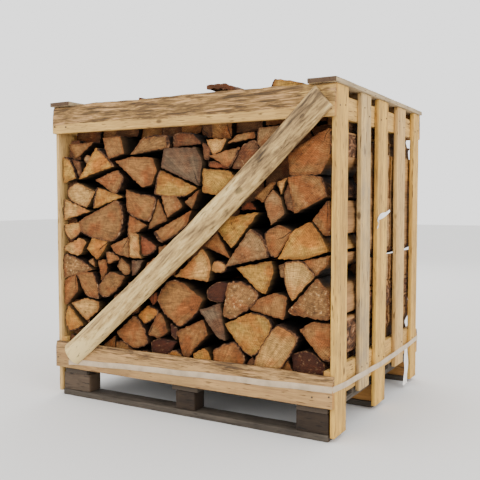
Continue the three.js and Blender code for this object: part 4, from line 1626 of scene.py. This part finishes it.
@dataclass
class Strapping:
    """The plastic band round the foot of the crate, with a torn tail and a scrap of film on the right side.

    Sizes are in millimetres.

    Attributes:
        band_height: the band's width.
        start_x: where it starts on the front.
        end_y: where it ends on the left side.
        start_z: the height of its middle where it starts.
        corner_z: the height of its middle at the corners.
        climb: how evenly it climbs along the front; below 1 it climbs faster at first.
        sag: how far it sags between the corners.
        corner_radius: how far before a corner it starts to turn.
    """

    band_height: float = 20.0
    start_x: float = -520.0
    end_y: float = -430.0
    start_z: float = 137.0
    corner_z: float = 177.0
    climb: float = 0.7
    sag: float = 12.0
    corner_radius: float = 6.0

    def corners(self) -> list[Vector]:
        """The corners of the band's route in X and Y, in millimetres."""
        low, high = (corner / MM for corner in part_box("strap"))
        return [Vector((self.start_x, low.y)), Vector((high.x, low.y)), Vector((high.x, high.y)),
                Vector((low.x, high.y)), Vector((low.x, self.end_y))]

    def place(self, distance: float) -> tuple[Vector, Vector]:
        """Follows the route.

        Args:
            distance: how far along it, in millimetres.

        Returns:
            The place in X and Y, and the direction that faces out there.
        """
        corners = self.corners()
        for start, end in zip(corners, corners[1:]):
            leg = end - start
            if distance <= leg.length or end == corners[-1]:
                way = leg.normalized()
                return start + way * min(max(distance, 0), leg.length), Vector((way.y, -way.x))
            distance -= leg.length
        raise ValueError("the route has no legs")

    def height(self, place: Vector, out: Vector) -> float:
        """The height of the band's middle: it climbs along the front and sags a little elsewhere."""
        corners = self.corners()
        if out.y < -0.7:
            reach = (place.x - self.start_x) / (corners[1].x - self.start_x)
            return self.start_z + (self.corner_z - self.start_z) * max(reach, 0) ** self.climb
        along = place.x / corners[1].x if out.y > 0.7 else place.y / corners[2].y
        return self.corner_z - self.sag * max(1 - along ** 2, 0)

    def band(self, share: float, across: float) -> Vector:
        """A point of the band, by its share of the length and from -1 to 1 of its width."""
        corners = self.corners()
        total = sum((b - a).length for a, b in zip(corners, corners[1:]))
        distance = share * total
        near = [self.place(distance + step * self.corner_radius) for step in (-1, -0.5, 0, 0.5, 1)]
        spot = sum((n[0] for n in near), Vector((0, 0))) / len(near)
        here, out = self.place(distance)
        level = self.height(here, out)
        up_and_down = 1.2 * math.sin(distance / 37) * math.sin(distance / 113)
        cup = 0.9 * (1 - across ** 2)
        in_and_out = 0.5 * math.sin(distance / 61) - 1.0
        spot = spot + out * (cup + in_and_out)
        return Vector((spot.x, spot.y, level + across * self.band_height / 2 + up_and_down)) * MM

    def tail(self, share: float, across: float) -> Vector:
        """A point of the torn tail that hangs from the band."""
        low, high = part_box("strap_tail")
        drop = high.z + (low.z - high.z) * share
        narrow = 0.95 - 0.1 * share
        sway = 6 * math.sin(4 * share)
        long_creases = 1.5 * math.sin(9 * share + 4 * across)
        fine_creases = 1.0 * math.sin(17 * across + 3 * share)
        middle = (low.y + high.y) / 2 + sway * MM
        half_width = narrow * (high.y - low.y) / 2
        return Vector((high.x + (long_creases + fine_creases) * MM, middle + across * half_width, drop))

    def scrap(self, share: float, across: float) -> Vector:
        """A point of the twisted film scrap: its thin end hangs down, and the rest rises across the slat."""
        low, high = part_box("film_scrap")
        hanging = 0.3
        hang = max(hanging - share, 0) / hanging
        rise = min(max(share - hanging, 0) / (1 - hanging), 1)
        start, reach = low.y - 8 * MM, high.y - low.y + 17 * MM
        foot, climb = low.z + 12 * MM, high.z - low.z - 24 * MM
        y = start + reach * rise + 9 * MM * math.sin(hang * 3)
        z = foot + climb * rise ** 0.9 - 32 * MM * hang
        width = (4 + 6 * math.sin(math.pi * share)) * MM
        twist = 0.9 * math.sin(6 * share)
        out = abs(math.sin(twist)) * 2.5 * MM + 1.5 * MM * math.sin(11 * share)
        return Vector((high.x + out + across * 2 * MM * math.sin(twist),
                       y - across * width * 0.3 * math.cos(twist), z + across * width * math.cos(twist)))

    def build(self) -> None:
        """Models the band, its tail and the scrap."""
        Ribbon("strap_band", "strap", BAND, self.band, thickness=1.2, stations=420, strands=4).build()
        Ribbon("strap_torn_tail", "strap_tail", STRETCH_FILM, self.tail, thickness=0.5, stations=28,
               strands=8).build()
        Ribbon("film_scrap_twisted", "film_scrap", STRETCH_FILM, self.scrap, thickness=0.5, stations=60,
               strands=4).build()


# ---------------------------------------------------------------- crate


FRESH = SawnPine("fresh sawn pine, upright")
GREYED = SawnPine("greyed sawn pine, upright", pale="D2AE70", deep="987C50", stain="787064", stained=0.65)
PALE_UPRIGHT = SawnPine("pale sawn pine, upright", pale="D8B06A", deep="A47C46", stain="836B4E", stained=0.4)
RAIL_PINE = SawnPine("fresh sawn pine, along the side", grain=Axis.Y, pale="D8AB5C", deep="9D763D")
CAP_PINE = SawnPine("greyed sawn pine, cap planks", grain=Axis.Y, pale="B8A078", deep="88765A",
                    stain="6E6252", stained=0.55, cut_end="3A1F10")
PALLET_LONG = SawnPine("weathered pine, along the front", grain=Axis.X, pale="594F44", deep="40382F",
                       stain="2E2822", stained=0.7, knot="1E1813", cut_end="463B30")
PALLET_DEEP = replace(PALLET_LONG, name="weathered pine, front to back", grain=Axis.Y)
BLOCK_TAN = SawnPine("greyed pine block", grain=Axis.X, pale="5D4D3C", deep="47392E", stain="332820",
                     stained=0.6, knot="211A13", cut_end="524131")
BLOCK_DARK = SawnPine("dark weathered pine block", grain=Axis.X, pale="372A1E", deep="261C13",
                      stain="1B130C", stained=0.6, knot="100B07", cut_end="2C2016")
BLOCK_FRESH = SawnPine("fresh pine block", grain=Axis.X, pale="B98446", deep="8C602E", stain="6A4C30",
                       stained=0.4, knot="3C2A1C", cut_end="A8753A")
TOP_SLAB = WaneyPine("waney pine with bark, top rail", grain=Axis.X, pale="D4AA60", deep="9C743E")
BOTTOM_SLAB = WaneyPine("waney pine with bark, bottom rail", grain=Axis.X, pale="B8915C", deep="876541",
                        stained=0.6, bark_from=0.15, bark_full=0.21, cover=0.55, bare_from=1.0)
KNOTS = ((0.857, 0.463, 0.015), (0.729, 0.430, 0.012), (0.960, 0.488, 0.009), (1.050, 0.452, 0.008))
FRONT_POLE = DebarkedPole("peeled pine pole, front brace", knots=KNOTS)
BACK_POLE = DebarkedPole("peeled pine pole, back brace", tilt=-BRACE_TILT, foot=0.3, head=-0.9,
                         knots=tuple((-along, across, size) for along, across, size in KNOTS))
BIRCH_END = BirchEndGrain("sawn birch, dried end grain")
SPLIT_FACE = SplitBirch("split birch, torn along the fibre")
OLD_BARK = BirchBark("old birch bark")
BAND = MilkyFilm("milky polypropylene")
STRETCH_FILM = MilkyFilm("white stretch film", colour="EDE9E2", dirty="CFC7BA")
NAIL = NailSteel("dull wire-nail steel")


@dataclass
class Pallet:
    """Skids, blocks, stringers and deck boards of weathered softwood."""

    blocks: dict[str, SawnPine] = field(default_factory=lambda: {
        "front_left": BLOCK_TAN, "front_middle": BLOCK_DARK, "front_right": BLOCK_DARK,
        "middle_left": BLOCK_DARK, "middle_middle": BLOCK_DARK, "middle_right": BLOCK_FRESH,
        "back_left": BLOCK_DARK, "back_middle": BLOCK_TAN, "back_right": BLOCK_FRESH,
    })
    deck_boards: int = 5

    def build(self) -> None:
        """Models every timber of the pallet."""
        for row in ("front", "middle", "back"):
            Board(f"skid_{row}", Axis.X, PALLET_LONG, "weathered_pine", edge=3.0, wear=2.6).build()
        for name, finish in self.blocks.items():
            slot = "fresh_pine" if finish is BLOCK_FRESH else "weathered_pine"
            Board(f"block_{name}", Axis.X, finish, slot, edge=4.0, wear=3.4, spacing=12).build()
        for side in ("left", "middle", "right"):
            Board(f"stringer_{side}", Axis.Y, PALLET_DEEP, "weathered_pine", wear=2.2).build()
        for index in range(self.deck_boards):
            Board(f"deck_board_{index + 1}", Axis.X, PALLET_LONG, "weathered_pine", wear=2.2).build()


@dataclass
class Crate:
    """The slatted sides, the rails with their waney edges, the cap planks and the two braces."""

    # For each side: the finish and the lean in degrees of each slat, from the front to the back.
    slats: dict[str, tuple[tuple[SawnPine, float], ...]] = field(default_factory=lambda: {
        "right": ((FRESH, 0), (GREYED, 0.3), (FRESH, -0.35), (PALE_UPRIGHT, 0.25), (FRESH, 0)),
        "left": ((PALE_UPRIGHT, 0), (FRESH, -0.3), (GREYED, 0.25), (FRESH, -0.2), (PALE_UPRIGHT, 0)),
    })

    def sides(self) -> None:
        """Models the slats, the rails inside them and the planks that cap them."""
        for side, slats in self.slats.items():
            for index, (finish, lean) in enumerate(slats):
                slot = {FRESH: "fresh_pine", GREYED: "greyed_pine", PALE_UPRIGHT: "pale_pine"}[finish]
                Board(f"{side}_slat_{index + 1}", Axis.Z, finish, slot, lean=lean).build()
            for level in ("bottom", "top"):
                Board(f"{side}_side_rail_{level}", Axis.Y, RAIL_PINE, "pale_pine").build()
            Board(f"{side}_cap_plank", Axis.Y, CAP_PINE, "greyed_pine", wear=2.0).build()

    def ends(self) -> None:
        """Models the rails and the brace of the front and of the back."""
        for end, outward, pole in (("front", -1.0, FRONT_POLE), ("back", 1.0, BACK_POLE)):
            WaneyRail(f"{end}_rail_top", Axis.X, TOP_SLAB, "greyed_pine", outward=outward).build()
            WaneyRail(f"{end}_rail_bottom", Axis.X, BOTTOM_SLAB, "pale_pine", outward=outward,
                      wane_from=72, wane_back=6, ragged=6).build()
            Brace(f"{end}_brace", pole, outward).build()

    def build(self) -> None:
        """Models the whole crate."""
        self.sides()
        self.ends()


@dataclass
class Nails:
    """The heads of the wire nails that hold the crate together. Sizes are in millimetres.

    Attributes:
        radius: a head's radius.
        proud: how far its rim stands out.
        steps: how far in and how far up each step of a head goes.
        seed: the seed of their chance.
        slats: how many slats a side has.
        across_slat: where the two nails in a slat's end stand, as shares of its width.
        astray: how far one may miss that place.
        up_side_rail: between which shares of a side rail's height they stand.
        from_rail_ends: how far from the ends of a front or back rail its nails stand.
        above_rail_foot: between which heights above its foot.
    """

    radius: float = 3.0
    proud: float = 1.4
    steps: tuple[tuple[float, float], ...] = ((0.9, 0.35), (1.2, 0.15))
    seed: int = 3
    slats: int = 5
    across_slat: tuple[float, float] = (0.25, 0.75)
    astray: float = 6.0
    up_side_rail: tuple[float, float] = (0.3, 0.7)
    from_rail_ends: tuple[float, float] = (12.0, 70.0)
    above_rail_foot: tuple[float, float] = (22.0, 40.0)

    def head(self) -> Piece:
        """Models one nail head, a low button that looks along Z."""
        deselect()
        bpy.ops.mesh.primitive_cylinder_add(vertices=14, radius=self.radius * MM, depth=2 * self.proud * MM)
        piece = bpy.context.object
        with editing(piece):
            pick(piece, lambda co, normal: normal.z > 0.9, faces=True)
            for inwards, upwards in self.steps:
                bpy.ops.mesh.inset(thickness=inwards * MM, depth=upwards * MM)
        return piece

    def places(self) -> Iterator[tuple[Vector, Vector]]:
        """Yields each head's place and the way that it looks."""
        draw = random.Random(self.seed)
        for side, sign in (("left", -1), ("right", 1)):
            for index in range(self.slats):
                low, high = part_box(f"{side}_slat_{index + 1}")
                for level in ("bottom", "top"):
                    rail_low, rail_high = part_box(f"{side}_side_rail_{level}")
                    for share in self.across_slat:
                        y = low.y + (high.y - low.y) * share + draw.uniform(-self.astray, self.astray) * MM
                        z = rail_low.z + (rail_high.z - rail_low.z) * draw.uniform(*self.up_side_rail)
                        yield Vector((high.x if sign > 0 else low.x, y, z)), Vector((sign, 0, 0))
        for end, sign in (("front", -1), ("back", 1)):
            for level in ("bottom", "top"):
                low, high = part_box(f"{end}_rail_{level}")
                near, far = (reach * MM for reach in self.from_rail_ends)
                for x in (low.x + near, low.x + far, high.x - far, high.x - near):
                    z = low.z + draw.uniform(*self.above_rail_foot) * MM
                    face = low.y if sign < 0 else high.y
                    yield Vector((x, face, z)), Vector((0, sign, 0))

    def build(self) -> None:
        """Drives all the nails and joins their heads."""
        head = self.head()
        heads = []
        for place, way in self.places():
            copy = head.copy()
            copy.data = head.data.copy()
            bpy.context.collection.objects.link(copy)
            copy.location = place
            copy.rotation_euler = way.to_track_quat("Z", "Y").to_euler()
            heads.append(copy)
        bpy.data.objects.remove(head)
        for copy in heads:
            deselect()
            copy.select_set(True)
            bpy.context.view_layer.objects.active = copy
            bpy.ops.object.transform_apply(location=True, rotation=True, scale=True)
        piece = join(heads)
        NAIL.put_on(piece)
        hand_over(piece, "nail_heads", "weathered_pine", smooth=30)


# ---------------------------------------------------------------- studio


@dataclass
class Studio:
    """A plain pale floor, soft light and the camera. Places are in metres.

    Attributes:
        camera_place: where the camera stands.
        camera_turn: how it is turned, in degrees.
        lens: its focal length, in millimetres, for a sensor that is sensor_width wide.
        sensor_width: the width of its sensor.
        sky: how bright the white room is.
        crate_middle: where the lamps look.
    """

    camera_place: tuple[float, float, float] = (1.389, -2.474, 0.769)
    camera_turn: tuple[float, float, float] = (86.76, 0.0, 29.7)
    lens: float = 51.63
    sensor_width: float = 36.0
    sky: float = 1.9
    crate_middle: Vector = field(default_factory=lambda: Vector((0, 0, 0.55)))

    def floor(self) -> None:
        """Lays the floor."""
        deselect()
        bpy.ops.mesh.primitive_plane_add(size=40, location=(0, 0, 0))
        plane = bpy.context.object
        plane.name = "studio_floor"
        FloorPaint("pale studio floor").put_on(plane)

    def lamp(self, name: str, place: Vector, size: float, power: float) -> None:
        """Hangs a soft lamp that looks at the crate.

        Args:
            name: the lamp's name.
            place: where it hangs, in metres.
            size: the side of its square face.
            power: its power in watts.
        """
        deselect()
        bpy.ops.object.light_add(type="AREA", location=place)
        lamp = bpy.context.object
        lamp.name = name
        lamp.data.size = size
        lamp.data.energy = power
        aim = self.crate_middle - place
        lamp.rotation_euler = aim.to_track_quat("-Z", "Y").to_euler()

    def build(self) -> None:
        """Sets up the floor, the lamps, the sky and the camera."""
        deselect()
        bpy.ops.object.camera_add(location=self.camera_place,
                                  rotation=[math.radians(a) for a in self.camera_turn])
        camera = bpy.context.object
        camera.name = "camera"
        camera.data.lens = self.lens
        camera.data.sensor_width = self.sensor_width
        bpy.context.scene.camera = camera
        self.floor()
        self.lamp("key_lamp", Vector((-1.7, -4.1, 2.6)), size=2.6, power=50)
        self.lamp("side_lamp", Vector((4.4, -1.6, 2.8)), size=2.6, power=90)
        self.lamp("back_lamp", Vector((-2.0, 4.4, 3.2)), size=3.0, power=80)
        world = bpy.data.worlds.new("soft white room")
        world.use_nodes = True
        background = world.node_tree.nodes["Background"]
        background.inputs["Color"].default_value = linear("FFFFFF")
        background.inputs["Strength"].default_value = self.sky
        bpy.context.scene.world = world


def main() -> None:
    """Builds the crate's parts in order, and the studio round them."""
    logging.basicConfig(level=logging.INFO, format="%(message)s")
    Studio().build()
    for part in (Pallet(), Crate(), Strapping(), Nails(), Woodpile(), LooseLogs()):
        part.build()
        LOG.info("%s is finished", type(part).__name__)


if __name__ == "__main__":
    main()
